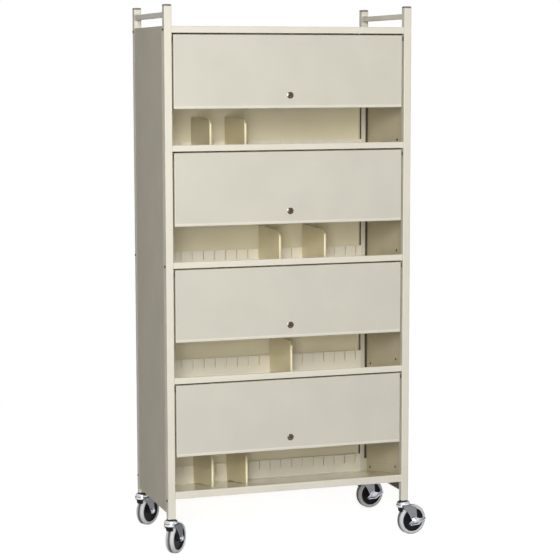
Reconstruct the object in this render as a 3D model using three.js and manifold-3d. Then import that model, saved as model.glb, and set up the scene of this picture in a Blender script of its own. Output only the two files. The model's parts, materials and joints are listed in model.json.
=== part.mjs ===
// Mobile medical chart rack: four sloped shelves between square posts, each bay closed in its upper
// part by a locking panel that flips up and slides back under the shelf above, on four swivel casters.
// Millimetres, +Z up, front towards -Y, origin on the floor under the middle of the whole part.
import * as THREE from 'three';
import { mergeVertices } from 'three/addons/utils/BufferGeometryUtils.js';
import Module from 'manifold-3d';

const wasm = await Module();
wasm.setup();

// Frame sizes
const RACK_WIDTH = 840;
const RACK_DEPTH = 420;
const POST_SIZE = 25;
const POST_WALL = 1.6;
const POST_CORNER = 2.5;
const POST_LENGTH = 1652;
const CAP_HEIGHT = 6;
const CAP_CORNER = 1.2;
const CAP_PLUG_LENGTH = 18;
const SHEET = 1.2;
const BEND_RADIUS = 3;
const PANEL_FLANGE = 10;
const PANEL_BOTTOM_GAP = 18;
const BACK_FLANGE = 12;

// Fits between neighbours
const FIT = 0.3;
const RUNNING_GAP = 0.4;

// Handle bars between front and rear posts
const HANDLE_SIZE = 19;
const HANDLE_WALL = 1.5;
const HANDLE_CORNER = 2;
const HANDLE_DROP = 17;

// Shelves
const BAY_COUNT = 4;
const TOP_PANEL_DROP = 62;
const SHELF_PITCH = 375;
const SHELF_LIP = 21;
const BOTTOM_LIP = 25;
const SHELF_SETBACK = 3;
const SHELF_SLOPE = THREE.MathUtils.degToRad(10.3);
const SHELF_END_FLANGE = 30;
const UPSTAND_HEIGHT = 64;
const UPSTAND_REAR_GAP = 30;
const SLIT_DEPTH = 33;
const SLIT_PITCH = 40;
const SLIT_OFFSET = 14;

// Lift-out dividers, placed by bay number and by slit number counted from the middle slit
const DIVIDER_SHEET = 1.5;
const DIVIDER_DEPTH = 228;
const DIVIDER_RISE = 76;
const DIVIDER_CORNER = 14;
const DIVIDER_EDGE = 6;
const DIVIDER_HOOK = 12;
const DIVIDER_HOOK_REACH = 2.2;
const DIVIDER_PLACES = [
  { bay: 1, slit: -6 },
  { bay: 1, slit: -3 },
  { bay: 2, slit: 0 },
  { bay: 2, slit: 4 },
  { bay: 3, slit: 1 },
  { bay: 4, slit: -6 },
  { bay: 4, slit: -3 },
];

// Flip-up locking panels
const DOOR_HEIGHT = 236;
const DOOR_DEPTH = 14;
const DOOR_SIDE_GAP = 8;
const DOOR_TOP_GAP = 5;
const DOOR_PIVOT_DROP = 12;
const DOOR_PIVOT_DEPTH = 8;
const ROD_RADIUS = 4;

// Key locks
const LOCK_RISE = 42;
const LOCK_BODY_RADIUS = 9;
const LOCK_FLANGE_RADIUS = 11;
const LOCK_FLANGE = 2.5;
const LOCK_BODY_LENGTH = 17;
const LOCK_KEYWAY_WIDTH = 1.8;
const LOCK_KEYWAY_HEIGHT = 8;
const LOCK_KEYWAY_DEPTH = 6;
const CAM_WIDTH = 13;
const CAM_REACH = 30;
const CAM_SHEET = 2;

// Door carriages and their tracks
const TRACK_SLOPE = THREE.MathUtils.degToRad(8);
const TRACK_START = 19;
const TRACK_LENGTH = 326;
const TRACK_WALL = 1.8;
const TRACK_FLANGE = 22;
const TRACK_TIE = 12;
const SHOE_START = 32;
const SHOE_LENGTH = 70;
const SHOE_HEIGHT = 12;
const ARM_SHEET = 4.6;
const ARM_HEIGHT = 15;
const ARM_DOOR_GAP = 1.2;

// Casters
const WHEEL_RADIUS = 51;
const TREAD_WIDTH = 30;
const TREAD_CROWN = 9;
const HUB_RADIUS = 39.2;
const HUB_WIDTH = 25;
const HUB_RIM = 6;
const HUB_RECESS = 5;
const HUB_BOSS_RADIUS = 11;
const AXLE_RADIUS = 4.8;
const CASTER_TRAIL = 32;
const FORK_SHEET = 3;
const FORK_SIDE_GAP = 1.6;
const FORK_TOP_GAP = 2;
const FORK_CROWN_FRONT = 22;
const FORK_CROWN_REACH = 14;
const FORK_SHOULDER = 7;
const FORK_SKIRT = 9;
const FORK_FOOT_RADIUS = 11;
const SWIVEL_RADIUS = 22;
const SWIVEL_TOP_RADIUS = 15;
const SWIVEL_HEIGHT = 11;
const KINGPIN_RADIUS = 5;
const KINGPIN_LENGTH = 8;
const COLLAR_RADIUS = 14;
const COLLAR_HEIGHT = 3;
const STEM_LENGTH = 45;
const AXLE_END = 5.5;

// Brake levers on the axle ends of the right-hand casters
const LEVER_SHEET = 2.5;
const LEVER_PEDAL = 9;
const LEVER_EYE = 9;
const LEVER_DROP = 15;
const LEVER_SHORT_ARM = 23;
const LEVER_LONG_ARM = 42;
const LEVER_RISE = 4;
const LEVER_TIP = 7;
const CASTERS = [
  { place: 'front_left', side: -1, rear: 0, turn: 47, brake: false },
  { place: 'front_right', side: 1, rear: 0, turn: 10, brake: true },
  { place: 'rear_left', side: -1, rear: 1, turn: 38, brake: false },
  { place: 'rear_right', side: 1, rear: 1, turn: 11, brake: true },
];

// Flat facets on round stretches
const BEND_FACETS = 3;
const CORNER_FACETS = 3;
const CAP_FACETS = 2;
const PLATE_FACETS = 4;
const LEG_FACETS = 8;
const PIN_FACETS = 12;
const LOCK_FACETS = 16;
const HEAD_FACETS = 20;
const HUB_FACETS = 24;
const TYRE_FACETS = 36;

// Places worked out from the sizes
const halfWidth = RACK_WIDTH / 2;
const postInner = halfWidth - POST_SIZE;
const postAxisX = halfWidth - POST_SIZE / 2;
const wheelTop = 2 * WHEEL_RADIUS;
const crownBottom = wheelTop + FORK_TOP_GAP;
const swivelTop = crownBottom + FORK_SHEET + SWIVEL_HEIGHT;
const collarBottom = swivelTop + FIT;
const postBottom = collarBottom + COLLAR_HEIGHT + FIT;
const postTop = postBottom + POST_LENGTH;
const topLevel = postTop - TOP_PANEL_DROP;
const panelBottom = postBottom + PANEL_BOTTOM_GAP;
const wallInside = halfWidth - SHEET;
const upstandY = RACK_DEPTH - UPSTAND_REAR_GAP;
const shelfDrop = (upstandY - SHELF_SETBACK) * Math.tan(SHELF_SLOPE);
const upstandTop = UPSTAND_HEIGHT - shelfDrop;
const doorHalf = postInner - DOOR_SIDE_GAP;
const pivotY = SHELF_SETBACK + DOOR_PIVOT_DEPTH;
const shelfLevel = (bay) => topLevel - bay * SHELF_PITCH;
const doorTop = (bay) => shelfLevel(bay - 1) - SHELF_LIP - DOOR_TOP_GAP;
const doorBottom = (bay) => doorTop(bay) - DOOR_HEIGHT;

// Finishes
function finish(color, roughness, metalness) {
  return new THREE.MeshStandardMaterial({ color, roughness, metalness });
}

const PUTTY_PAINT = finish('#d9cfbd', 0.45, 0.1);
const DARK_PLASTIC = finish('#4b4d50', 0.6, 0);
const CHROME = finish('#c8cbd0', 0.2, 1);
const ZINC = finish('#a9a8a3', 0.4, 1);
const BLACK_HUB = finish('#1c1c1f', 0.5, 0);
const GREY_RUBBER = finish('#8f9297', 0.8, 0);

const rack = new THREE.Group();

// A closed geometry as a solid for joining and cutting
function solid(geometry) {
  const bare = geometry.clone();
  bare.deleteAttribute('normal');
  bare.deleteAttribute('uv');
  const merged = mergeVertices(bare, 1e-4);
  return new wasm.Manifold(new wasm.Mesh({
    numProp: 3,
    vertProperties: new Float32Array(merged.attributes.position.array),
    triVerts: new Uint32Array(merged.index.array),
  }));
}

// A solid as a named mesh in a group
function addPart(group, name, body, material) {
  const { vertProperties, triVerts } = body.getMesh();
  const geometry = new THREE.BufferGeometry();
  geometry.setAttribute('position', new THREE.BufferAttribute(vertProperties, 3));
  geometry.setIndex(new THREE.BufferAttribute(triVerts, 1));
  geometry.computeVertexNormals();
  const mesh = new THREE.Mesh(geometry, material);
  mesh.name = name;
  group.add(mesh);
  return mesh;
}

// A block between two corners
function block(x0, x1, y0, y1, z0, z1) {
  const geometry = new THREE.BoxGeometry(x1 - x0, y1 - y0, z1 - z0);
  geometry.translate((x0 + x1) / 2, (y0 + y1) / 2, (z0 + z1) / 2);
  return solid(geometry);
}

// A shape drawn out by a depth, with a number of facets on its round stretches
function drawnOut(shape, depth, curveSegments) {
  return new THREE.ExtrudeGeometry(shape, { depth, bevelEnabled: false, curveSegments });
}

// A shape of (x, y) points drawn out along Z
function prismZ(shape, z0, z1) {
  const geometry = drawnOut(shape, z1 - z0, CORNER_FACETS);
  geometry.translate(0, 0, z0);
  return solid(geometry);
}

// A shape of (y, z) points drawn out along X
function prismX(shape, x0, x1) {
  const geometry = drawnOut(shape, x1 - x0, PLATE_FACETS);
  const toYZ = new THREE.Matrix4().makeBasis(
    new THREE.Vector3(0, 1, 0),
    new THREE.Vector3(0, 0, 1),
    new THREE.Vector3(1, 0, 0),
  );
  geometry.applyMatrix4(toYZ);
  geometry.translate(x0, 0, 0);
  return solid(geometry);
}

// A shape of (x, z) points drawn out along Y
function prismY(shape, y0, y1) {
  const geometry = drawnOut(shape, y1 - y0, LEG_FACETS);
  geometry.rotateX(Math.PI / 2);
  geometry.translate(0, y1, 0);
  return solid(geometry);
}

// A round bar along Z, X or Y between two ends
function rodZ(radius, z0, z1, facets) {
  const geometry = new THREE.CylinderGeometry(radius, radius, z1 - z0, facets);
  geometry.rotateX(Math.PI / 2);
  geometry.translate(0, 0, (z0 + z1) / 2);
  return solid(geometry);
}

function rodX(radius, x0, x1, y, z) {
  const geometry = new THREE.CylinderGeometry(radius, radius, x1 - x0, PIN_FACETS);
  geometry.rotateZ(Math.PI / 2);
  geometry.translate((x0 + x1) / 2, y, z);
  return solid(geometry);
}

function rodY(radius, y0, y1, x, z) {
  const geometry = new THREE.CylinderGeometry(radius, radius, y1 - y0, LOCK_FACETS);
  geometry.translate(x, (y0 + y1) / 2, z);
  return solid(geometry);
}

// A rectangle with round corners about a centre
function roundedRectangle(width, height, radius) {
  const shape = new THREE.Shape();
  const x = width / 2;
  const y = height / 2;
  shape.absarc(x - radius, y - radius, radius, 0, Math.PI / 2);
  shape.absarc(radius - x, y - radius, radius, Math.PI / 2, Math.PI);
  shape.absarc(radius - x, radius - y, radius, Math.PI, 1.5 * Math.PI);
  shape.absarc(x - radius, radius - y, radius, 1.5 * Math.PI, 2 * Math.PI);
  return shape;
}

// A square tube section
function tubeSection(size, wall, corner) {
  const shape = roundedRectangle(size, size, corner);
  const inside = size / 2 - wall;
  shape.holes.push(new THREE.Path([
    new THREE.Vector2(-inside, -inside),
    new THREE.Vector2(inside, -inside),
    new THREE.Vector2(inside, inside),
    new THREE.Vector2(-inside, inside),
  ]));
  return shape;
}

// The middle line of a folded sheet, with its folds rounded
function foldedLine(corners, radius) {
  const points = corners.map(([a, b]) => new THREE.Vector2(a, b));
  const path = new THREE.Path();
  path.moveTo(points[0].x, points[0].y);
  for (let i = 1; i < points.length - 1; i += 1) {
    const fold = points[i];
    const from = points[i - 1].clone().sub(fold).setLength(radius).add(fold);
    const to = points[i + 1].clone().sub(fold).setLength(radius).add(fold);
    path.lineTo(from.x, from.y);
    path.quadraticCurveTo(fold.x, fold.y, to.x, to.y);
  }
  const last = points[points.length - 1];
  path.lineTo(last.x, last.y);
  return path.getPoints(BEND_FACETS);
}

// A line moved sideways to its left by a distance
function besideLine(points, distance) {
  const end = points.length - 1;
  return points.map((point, i) => {
    const arrive = point.clone().sub(points[Math.max(i - 1, 0)]).normalize();
    const leave = points[Math.min(i + 1, end)].clone().sub(point).normalize();
    const along = arrive.clone().add(leave).normalize();
    const stretch = distance / along.dot(i > 0 ? arrive : leave);
    return new THREE.Vector2(point.x - along.y * stretch, point.y + along.x * stretch);
  });
}

// The section of a folded sheet whose outer face is on the left of its corners
function sheetSection(corners) {
  const outer = foldedLine(corners, BEND_RADIUS);
  return new THREE.Shape([...outer, ...besideLine(outer, -SHEET).reverse()]);
}

// The full outline of a folded sheet, and the hollow inside it that runs out past its open side
function sheetOutline(corners) {
  return new THREE.Shape(foldedLine(corners, BEND_RADIUS));
}

function sheetHollow(corners) {
  const inner = besideLine(foldedLine(corners, BEND_RADIUS), -SHEET);
  const first = inner[0];
  const last = inner[inner.length - 1];
  const past = new THREE.Vector2().subVectors(first, inner[1]).setLength(SHEET);
  return new THREE.Shape([first.clone().add(past), ...inner, last.clone().add(past)]);
}

// The X range between two distances from the middle, on one side
function sideRange(side, near, far) {
  return side > 0 ? [near, far] : [-far, -near];
}

// A closed outline from corner pairs
function polygon(corners) {
  return new THREE.Shape(corners.map(([a, b]) => new THREE.Vector2(a, b)));
}

// Posts with their caps
function addPosts() {
  const section = tubeSection(POST_SIZE, POST_WALL, POST_CORNER);
  const plug = POST_SIZE / 2 - POST_WALL - FIT;
  const capBottom = postTop + FIT;
  for (const { place, side, rear } of CASTERS) {
    const corner = new THREE.Group();
    corner.position.set(side * postAxisX, POST_SIZE / 2 + rear * (RACK_DEPTH - POST_SIZE), 0);
    rack.add(corner);
    addPart(corner, `post_${place}`, prismZ(section, postBottom, postTop), PUTTY_PAINT);
    const head = new THREE.ExtrudeGeometry(
      roundedRectangle(POST_SIZE - 2 * CAP_CORNER, POST_SIZE - 2 * CAP_CORNER, POST_CORNER),
      {
        depth: CAP_HEIGHT - 2 * CAP_CORNER,
        bevelThickness: CAP_CORNER,
        bevelSize: CAP_CORNER,
        bevelSegments: 1,
        curveSegments: CAP_FACETS,
      },
    );
    head.translate(0, 0, capBottom + CAP_CORNER);
    const insert = block(-plug, plug, -plug, plug, postTop - CAP_PLUG_LENGTH, capBottom + CAP_CORNER);
    addPart(corner, `post_cap_${place}`, solid(head).add(insert), DARK_PLASTIC);
  }
}

// Handle bars along both sides
function addHandles() {
  const section = tubeSection(HANDLE_SIZE, HANDLE_WALL, HANDLE_CORNER);
  const length = RACK_DEPTH - 2 * (POST_SIZE + FIT);
  for (const [name, side] of [['left', -1], ['right', 1]]) {
    const bar = new THREE.Group();
    bar.position.set(side * postAxisX, RACK_DEPTH / 2, postTop - HANDLE_DROP - HANDLE_SIZE / 2);
    bar.rotation.x = Math.PI / 2;
    rack.add(bar);
    addPart(bar, `handle_bar_${name}`, prismZ(section, -length / 2, length / 2), PUTTY_PAINT);
  }
}

// Side panels between the posts, flush with their outer faces
function addSidePanels() {
  const front = POST_SIZE + FIT;
  const back = RACK_DEPTH - front;
  const flange = halfWidth - PANEL_FLANGE;
  const right = [
    [flange, back],
    [halfWidth, back],
    [halfWidth, front],
    [flange, front],
  ];
  const left = right.map(([x, y]) => [-x, y]).reverse();
  for (const [name, side, corners] of [['right', 1, right], ['left', -1, left]]) {
    const [x0, x1] = sideRange(side, postInner + FIT, halfWidth - SHEET / 2);
    const top = block(x0, x1, front, back, topLevel - SHEET, topLevel);
    const wall = prismZ(sheetSection(corners), panelBottom, topLevel);
    addPart(rack, `side_panel_${name}`, wall.add(top), PUTTY_PAINT);
  }
}

// Top panel and back panel
function addTopAndBack() {
  const inside = postInner - FIT;
  const topSection = sheetSection([
    [SHELF_SETBACK, topLevel - SHELF_LIP],
    [SHELF_SETBACK, topLevel],
    [RACK_DEPTH, topLevel],
    [RACK_DEPTH, topLevel - SHELF_LIP],
  ]);
  addPart(rack, 'top_panel', prismX(topSection, -inside, inside), PUTTY_PAINT);
  const backSection = sheetSection([
    [-inside, RACK_DEPTH - BACK_FLANGE],
    [-inside, RACK_DEPTH],
    [inside, RACK_DEPTH],
    [inside, RACK_DEPTH - BACK_FLANGE],
  ]);
  const backTop = topLevel - SHELF_LIP - FIT;
  addPart(rack, 'back_panel', prismZ(backSection, panelBottom, backTop), PUTTY_PAINT);
}

// One sloped shelf with its front lip, end flanges and slit upstand
function addShelf(bay) {
  const level = shelfLevel(bay);
  const lip = bay === BAY_COUNT ? BOTTOM_LIP : SHELF_LIP;
  const surface = (y) => level - (y - SHELF_SETBACK) * Math.tan(SHELF_SLOPE);
  const inside = postInner - FIT;
  const section = sheetSection([
    [SHELF_SETBACK, level - lip],
    [SHELF_SETBACK, level],
    [upstandY, surface(upstandY)],
    [upstandY, level + upstandTop],
  ]);
  let shelf = prismX(section, -inside, inside);
  const wingFront = POST_SIZE + FIT + SHEET + BEND_RADIUS;
  const wingBack = upstandY - BEND_RADIUS - SHEET;
  const wingEnd = wallInside - FIT;
  const sheetDrop = SHEET / Math.cos(SHELF_SLOPE);
  const slab = (rise) => polygon([
    [wingFront, surface(wingFront) - sheetDrop],
    [wingBack, surface(wingBack) - sheetDrop],
    [wingBack, surface(wingBack) + rise],
    [wingFront, surface(wingFront) + rise],
  ]);
  shelf = shelf.add(prismX(slab(0), -wingEnd, wingEnd));
  for (const side of [-1, 1]) {
    shelf = shelf.add(prismX(slab(SHELF_END_FLANGE), ...sideRange(side, wingEnd - SHEET, wingEnd)));
  }
  const slitHalf = DIVIDER_SHEET / 2 + FIT;
  const slitBottom = level + upstandTop - SLIT_DEPTH;
  const firstSlit = Math.ceil((SLIT_PITCH / 4 - inside - SLIT_OFFSET) / SLIT_PITCH);
  const lastSlit = Math.floor((inside - SLIT_OFFSET - SLIT_PITCH / 4) / SLIT_PITCH);
  for (let slit = firstSlit; slit <= lastSlit; slit += 1) {
    const x = SLIT_OFFSET + slit * SLIT_PITCH;
    const cut = block(
      x - slitHalf,
      x + slitHalf,
      upstandY - 2 * SHEET,
      upstandY + 2 * SHEET,
      slitBottom,
      level + upstandTop + SHEET,
    );
    shelf = shelf.subtract(cut);
  }
  addPart(rack, `shelf_${bay}`, shelf, PUTTY_PAINT);
}

// One lift-out divider hooked into a slit of the upstand
function addDivider({ bay, slit }, number) {
  const level = shelfLevel(bay);
  const surface = (y) => level - (y - SHELF_SETBACK) * Math.tan(SHELF_SLOPE);
  const back = upstandY - RUNNING_GAP;
  const front = back - DIVIDER_DEPTH;
  const top = level + DIVIDER_RISE;
  const hookBottom = level + upstandTop - SLIT_DEPTH + FIT;
  const hookTop = level + upstandTop;
  const behind = upstandY + SHEET + RUNNING_GAP;
  const shape = new THREE.Shape();
  shape.moveTo(front, surface(front) + RUNNING_GAP);
  shape.lineTo(back, surface(back) + RUNNING_GAP + BEND_RADIUS);
  shape.lineTo(back, hookBottom);
  shape.lineTo(behind, hookBottom);
  shape.lineTo(behind, hookBottom - DIVIDER_HOOK);
  shape.lineTo(behind + DIVIDER_HOOK_REACH, hookBottom - DIVIDER_HOOK);
  shape.lineTo(behind + DIVIDER_HOOK_REACH, hookTop);
  shape.lineTo(back, hookTop);
  shape.lineTo(back, top);
  shape.lineTo(front + DIVIDER_CORNER, top);
  shape.quadraticCurveTo(front, top, front, top - DIVIDER_CORNER);
  const x = SLIT_OFFSET + slit * SLIT_PITCH;
  const half = DIVIDER_SHEET / 2;
  const plate = prismX(shape, x - half, x + half);
  const edge = block(
    x - half,
    x + DIVIDER_EDGE,
    front,
    front + DIVIDER_SHEET,
    surface(front) + RUNNING_GAP,
    top - DIVIDER_CORNER,
  );
  addPart(rack, `divider_${number}`, plate.add(edge), PUTTY_PAINT);
}

// One flip-up panel with its pivot holes and lock hole
function addDoor(bay) {
  const top = doorTop(bay);
  const bottom = doorBottom(bay);
  const back = SHELF_SETBACK + DOOR_DEPTH;
  const corners = [
    [back, bottom],
    [SHELF_SETBACK, bottom],
    [SHELF_SETBACK, top],
    [back, top],
  ];
  const pivotZ = top - DOOR_PIVOT_DROP;
  const pivotHole = rodX(ROD_RADIUS + FIT, -halfWidth, halfWidth, pivotY, pivotZ);
  const lockZ = bottom + LOCK_RISE;
  const lockHole = rodY(LOCK_BODY_RADIUS + FIT, 0, back, 0, lockZ);
  const door = prismX(sheetOutline(corners), -doorHalf, doorHalf)
    .subtract(prismX(sheetHollow(corners), SHEET - doorHalf, doorHalf - SHEET))
    .subtract(pivotHole)
    .subtract(lockHole);
  addPart(rack, `door_${bay}`, door, PUTTY_PAINT);
}

// One key lock: flanged plug with keyway in front and a cam behind the panel
function addLock(bay) {
  const z = doorBottom(bay) + LOCK_RISE;
  const seat = SHELF_SETBACK - FIT;
  const back = SHELF_SETBACK + LOCK_BODY_LENGTH;
  const keywayHalf = LOCK_KEYWAY_WIDTH / 2;
  const keyway = block(
    -keywayHalf,
    keywayHalf,
    seat - 2 * LOCK_FLANGE,
    seat - LOCK_FLANGE + LOCK_KEYWAY_DEPTH,
    z - LOCK_KEYWAY_HEIGHT / 2,
    z + LOCK_KEYWAY_HEIGHT / 2,
  );
  const cam = block(-CAM_WIDTH / 2, CAM_WIDTH / 2, back - CAM_SHEET, back, z - CAM_REACH, z + CAM_WIDTH / 2);
  const lock = rodY(LOCK_FLANGE_RADIUS, seat - LOCK_FLANGE, seat, 0, z)
    .add(rodY(LOCK_BODY_RADIUS, seat - LOCK_FLANGE / 2, back, 0, z))
    .add(cam)
    .subtract(keyway);
  addPart(rack, `lock_${bay}`, lock, ZINC);
}

// The group of one bay's slide gear, tilted to the track slope about the door pivot
function slideGroup(bay) {
  const group = new THREE.Group();
  group.position.set(0, pivotY, doorTop(bay) - DOOR_PIVOT_DROP);
  group.rotation.x = -TRACK_SLOPE;
  rack.add(group);
  return group;
}

// Door carriage: pivot rod, two side arms in the gaps beside the posts, and two slide shoes
function addCarriage(bay) {
  const armInner = doorHalf + ARM_DOOR_GAP;
  const armOuter = armInner + ARM_SHEET;
  const shoeEnd = SHOE_START + SHOE_LENGTH;
  const trackWeb = wallInside - RUNNING_GAP - TRACK_WALL;
  const half = ARM_HEIGHT / 2;
  const arm = new THREE.Shape();
  arm.moveTo(shoeEnd, half);
  arm.lineTo(0, half);
  arm.absarc(0, 0, half, Math.PI / 2, 1.5 * Math.PI);
  arm.lineTo(shoeEnd, -half);
  let carriage = rodX(ROD_RADIUS, -armOuter, armOuter, 0, 0);
  for (const side of [-1, 1]) {
    const [shoeA, shoeB] = sideRange(side, armInner, trackWeb - RUNNING_GAP);
    carriage = carriage
      .add(prismX(arm, ...sideRange(side, armInner, armOuter)))
      .add(block(shoeA, shoeB, SHOE_START, shoeEnd, -SHOE_HEIGHT / 2, SHOE_HEIGHT / 2));
  }
  addPart(slideGroup(bay), `door_carriage_${bay}`, carriage, ZINC);
}

// Door tracks: two channels on the side walls joined by a rear tie bar
function addTracks(bay) {
  const outer = wallInside - RUNNING_GAP;
  const inner = outer - TRACK_FLANGE;
  const web = outer - TRACK_WALL;
  const gap = SHOE_HEIGHT / 2 + RUNNING_GAP;
  const half = gap + TRACK_WALL;
  const end = TRACK_START + TRACK_LENGTH;
  let track = block(-outer, outer, end - TRACK_TIE, end, -half, half);
  for (const side of [-1, 1]) {
    const section = polygon([
      [side * inner, half],
      [side * outer, half],
      [side * outer, -half],
      [side * inner, -half],
      [side * inner, -gap],
      [side * web, -gap],
      [side * web, gap],
      [side * inner, gap],
    ]);
    track = track.add(prismY(section, TRACK_START, end));
  }
  addPart(slideGroup(bay), `door_track_${bay}`, track, ZINC);
}

// Caster stem: square insert in the post, collar under it and kingpin in the swivel head
function addStem(group, place) {
  const half = POST_SIZE / 2 - POST_WALL - FIT;
  const collarTop = collarBottom + COLLAR_HEIGHT;
  const stem = rodZ(COLLAR_RADIUS, collarBottom, collarTop, HEAD_FACETS)
    .add(rodZ(KINGPIN_RADIUS, swivelTop - KINGPIN_LENGTH, collarTop, PIN_FACETS))
    .add(block(-half, half, -half, half, collarBottom + COLLAR_HEIGHT / 2, postBottom + STEM_LENGTH));
  addPart(group, `caster_stem_${place}`, stem, DARK_PLASTIC);
}

// Swivel fork with its head, legs and riveted axle; the local X axis points along the trail
function addFork(group, place, brake) {
  const legInner = TREAD_WIDTH / 2 + FORK_SIDE_GAP;
  const legOuter = legInner + FORK_SHEET;
  const crownTop = crownBottom + FORK_SHEET;
  const bore = KINGPIN_RADIUS + FIT;
  const head = new THREE.LatheGeometry([
    new THREE.Vector2(bore, swivelTop),
    new THREE.Vector2(bore, swivelTop - KINGPIN_LENGTH - FIT),
    new THREE.Vector2(0, swivelTop - KINGPIN_LENGTH - FIT),
    new THREE.Vector2(0, crownBottom),
    new THREE.Vector2(SWIVEL_RADIUS, crownBottom),
    new THREE.Vector2(SWIVEL_RADIUS, crownTop),
    new THREE.Vector2(SWIVEL_TOP_RADIUS, swivelTop),
    new THREE.Vector2(bore, swivelTop),
  ], HEAD_FACETS);
  head.rotateX(Math.PI / 2);
  const skirt = crownBottom - FORK_SKIRT;
  const leg = new THREE.Shape();
  leg.moveTo(-FORK_CROWN_FRONT, crownTop);
  leg.lineTo(-FORK_CROWN_FRONT, skirt);
  leg.quadraticCurveTo(CASTER_TRAIL / 2, skirt - FORK_SKIRT, CASTER_TRAIL - FORK_FOOT_RADIUS, WHEEL_RADIUS);
  leg.absarc(CASTER_TRAIL, WHEEL_RADIUS, FORK_FOOT_RADIUS, Math.PI, 2 * Math.PI);
  leg.lineTo(CASTER_TRAIL + FORK_SHOULDER, skirt);
  leg.lineTo(FORK_CROWN_REACH, crownTop);
  const reach = brake ? AXLE_END : FORK_SHEET;
  const fork = solid(head)
    .add(block(-FORK_CROWN_FRONT, FORK_CROWN_REACH, -legOuter, legOuter, crownBottom, crownTop))
    .add(prismY(leg, legInner, legOuter))
    .add(prismY(leg, -legOuter, -legInner))
    .add(rodY(AXLE_RADIUS, -legOuter - reach, legOuter + FORK_SHEET, CASTER_TRAIL, WHEEL_RADIUS));
  addPart(group, `caster_fork_${place}`, fork, CHROME);
}

// Wheel hub and tyre, turned about the axle; the tyre stands on a flat facet at its true radius
function addWheel(group, place) {
  const wheel = new THREE.Group();
  wheel.position.set(CASTER_TRAIL, 0, WHEEL_RADIUS);
  group.add(wheel);
  const half = HUB_WIDTH / 2;
  const bore = AXLE_RADIUS + FIT;
  const bossHalf = TREAD_WIDTH / 2;
  const hub = new THREE.LatheGeometry([
    new THREE.Vector2(bore, -bossHalf),
    new THREE.Vector2(HUB_BOSS_RADIUS, -bossHalf),
    new THREE.Vector2(HUB_BOSS_RADIUS, HUB_RECESS - half),
    new THREE.Vector2(HUB_RADIUS - HUB_RIM, HUB_RECESS - half),
    new THREE.Vector2(HUB_RADIUS - HUB_RIM / 2, -half),
    new THREE.Vector2(HUB_RADIUS, -half),
    new THREE.Vector2(HUB_RADIUS, half),
    new THREE.Vector2(HUB_RADIUS - HUB_RIM / 2, half),
    new THREE.Vector2(HUB_RADIUS - HUB_RIM, half - HUB_RECESS),
    new THREE.Vector2(HUB_BOSS_RADIUS, half - HUB_RECESS),
    new THREE.Vector2(HUB_BOSS_RADIUS, bossHalf),
    new THREE.Vector2(bore, bossHalf),
    new THREE.Vector2(bore, -bossHalf),
  ], HUB_FACETS);
  addPart(wheel, `caster_hub_${place}`, solid(hub), BLACK_HUB);
  const inner = HUB_RADIUS + FIT;
  const side = TREAD_WIDTH / 2;
  const facetTurn = Math.PI / TYRE_FACETS;
  const tread = WHEEL_RADIUS / Math.cos(facetTurn);
  const tyre = new THREE.LatheGeometry([
    new THREE.Vector2(inner, -half),
    new THREE.Vector2(tread - TREAD_CROWN, -side),
    new THREE.Vector2(tread - TREAD_CROWN / 3, TREAD_CROWN / 2 - side),
    new THREE.Vector2(tread, TREAD_CROWN - side),
    new THREE.Vector2(tread, side - TREAD_CROWN),
    new THREE.Vector2(tread - TREAD_CROWN / 3, side - TREAD_CROWN / 2),
    new THREE.Vector2(tread - TREAD_CROWN, side),
    new THREE.Vector2(inner, half),
    new THREE.Vector2(inner, -half),
  ], TYRE_FACETS, facetTurn);
  addPart(wheel, `caster_tyre_${place}`, solid(tyre), GREY_RUBBER);
}

// Brake lever: a plate round the axle end with its lower edge turned out as a foot rail
function addLever(group, place) {
  const inner = TREAD_WIDTH / 2 + FORK_SIDE_GAP + FORK_SHEET + FIT;
  const outer = inner + LEVER_SHEET;
  const edge = [
    new THREE.Vector2(-LEVER_SHORT_ARM, -LEVER_DROP),
    new THREE.Vector2(LEVER_EYE, -LEVER_DROP),
    new THREE.Vector2(2 * LEVER_EYE, -LEVER_RISE),
    new THREE.Vector2(LEVER_LONG_ARM, LEVER_RISE),
  ];
  const rail = new THREE.Shape([...edge, ...besideLine(edge, LEVER_SHEET).reverse()]);
  const plate = new THREE.Shape(edge);
  plate.lineTo(LEVER_LONG_ARM, LEVER_RISE + LEVER_TIP);
  plate.lineTo(2 * LEVER_EYE, LEVER_TIP);
  plate.absarc(0, 0, LEVER_EYE, Math.PI / 4, Math.PI);
  plate.lineTo(-LEVER_SHORT_ARM, LEVER_TIP - LEVER_DROP);
  const lever = new THREE.Group();
  lever.position.set(CASTER_TRAIL, 0, WHEEL_RADIUS);
  group.add(lever);
  const body = prismY(plate, -outer, -inner)
    .add(prismY(rail, -outer - LEVER_PEDAL, -inner))
    .subtract(rodY(AXLE_RADIUS + FIT, -outer - LEVER_PEDAL, 0, 0, 0));
  addPart(lever, `brake_lever_${place}`, body, CHROME);
}

function addCasters() {
  for (const { place, side, rear, turn, brake } of CASTERS) {
    const fixed = new THREE.Group();
    fixed.position.set(side * postAxisX, POST_SIZE / 2 + rear * (RACK_DEPTH - POST_SIZE), 0);
    rack.add(fixed);
    addStem(fixed, place);
    const swivel = new THREE.Group();
    swivel.rotation.z = THREE.MathUtils.degToRad(turn);
    fixed.add(swivel);
    addFork(swivel, place, brake);
    addWheel(swivel, place);
    if (brake) {
      addLever(swivel, place);
    }
  }
}

addPosts();
addHandles();
addSidePanels();
addTopAndBack();
for (let bay = 1; bay <= BAY_COUNT; bay += 1) {
  addShelf(bay);
  addDoor(bay);
  addLock(bay);
  addCarriage(bay);
  addTracks(bay);
}
DIVIDER_PLACES.forEach((place, i) => addDivider(place, i + 1));
addCasters();

// Origin on the floor under the middle of the whole part
rack.updateMatrixWorld(true);
const bounds = new THREE.Box3().setFromObject(rack, true);
const middle = bounds.getCenter(new THREE.Vector3());
rack.position.set(-middle.x, -middle.y, -bounds.min.z);
rack.updateMatrixWorld(true);

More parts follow.
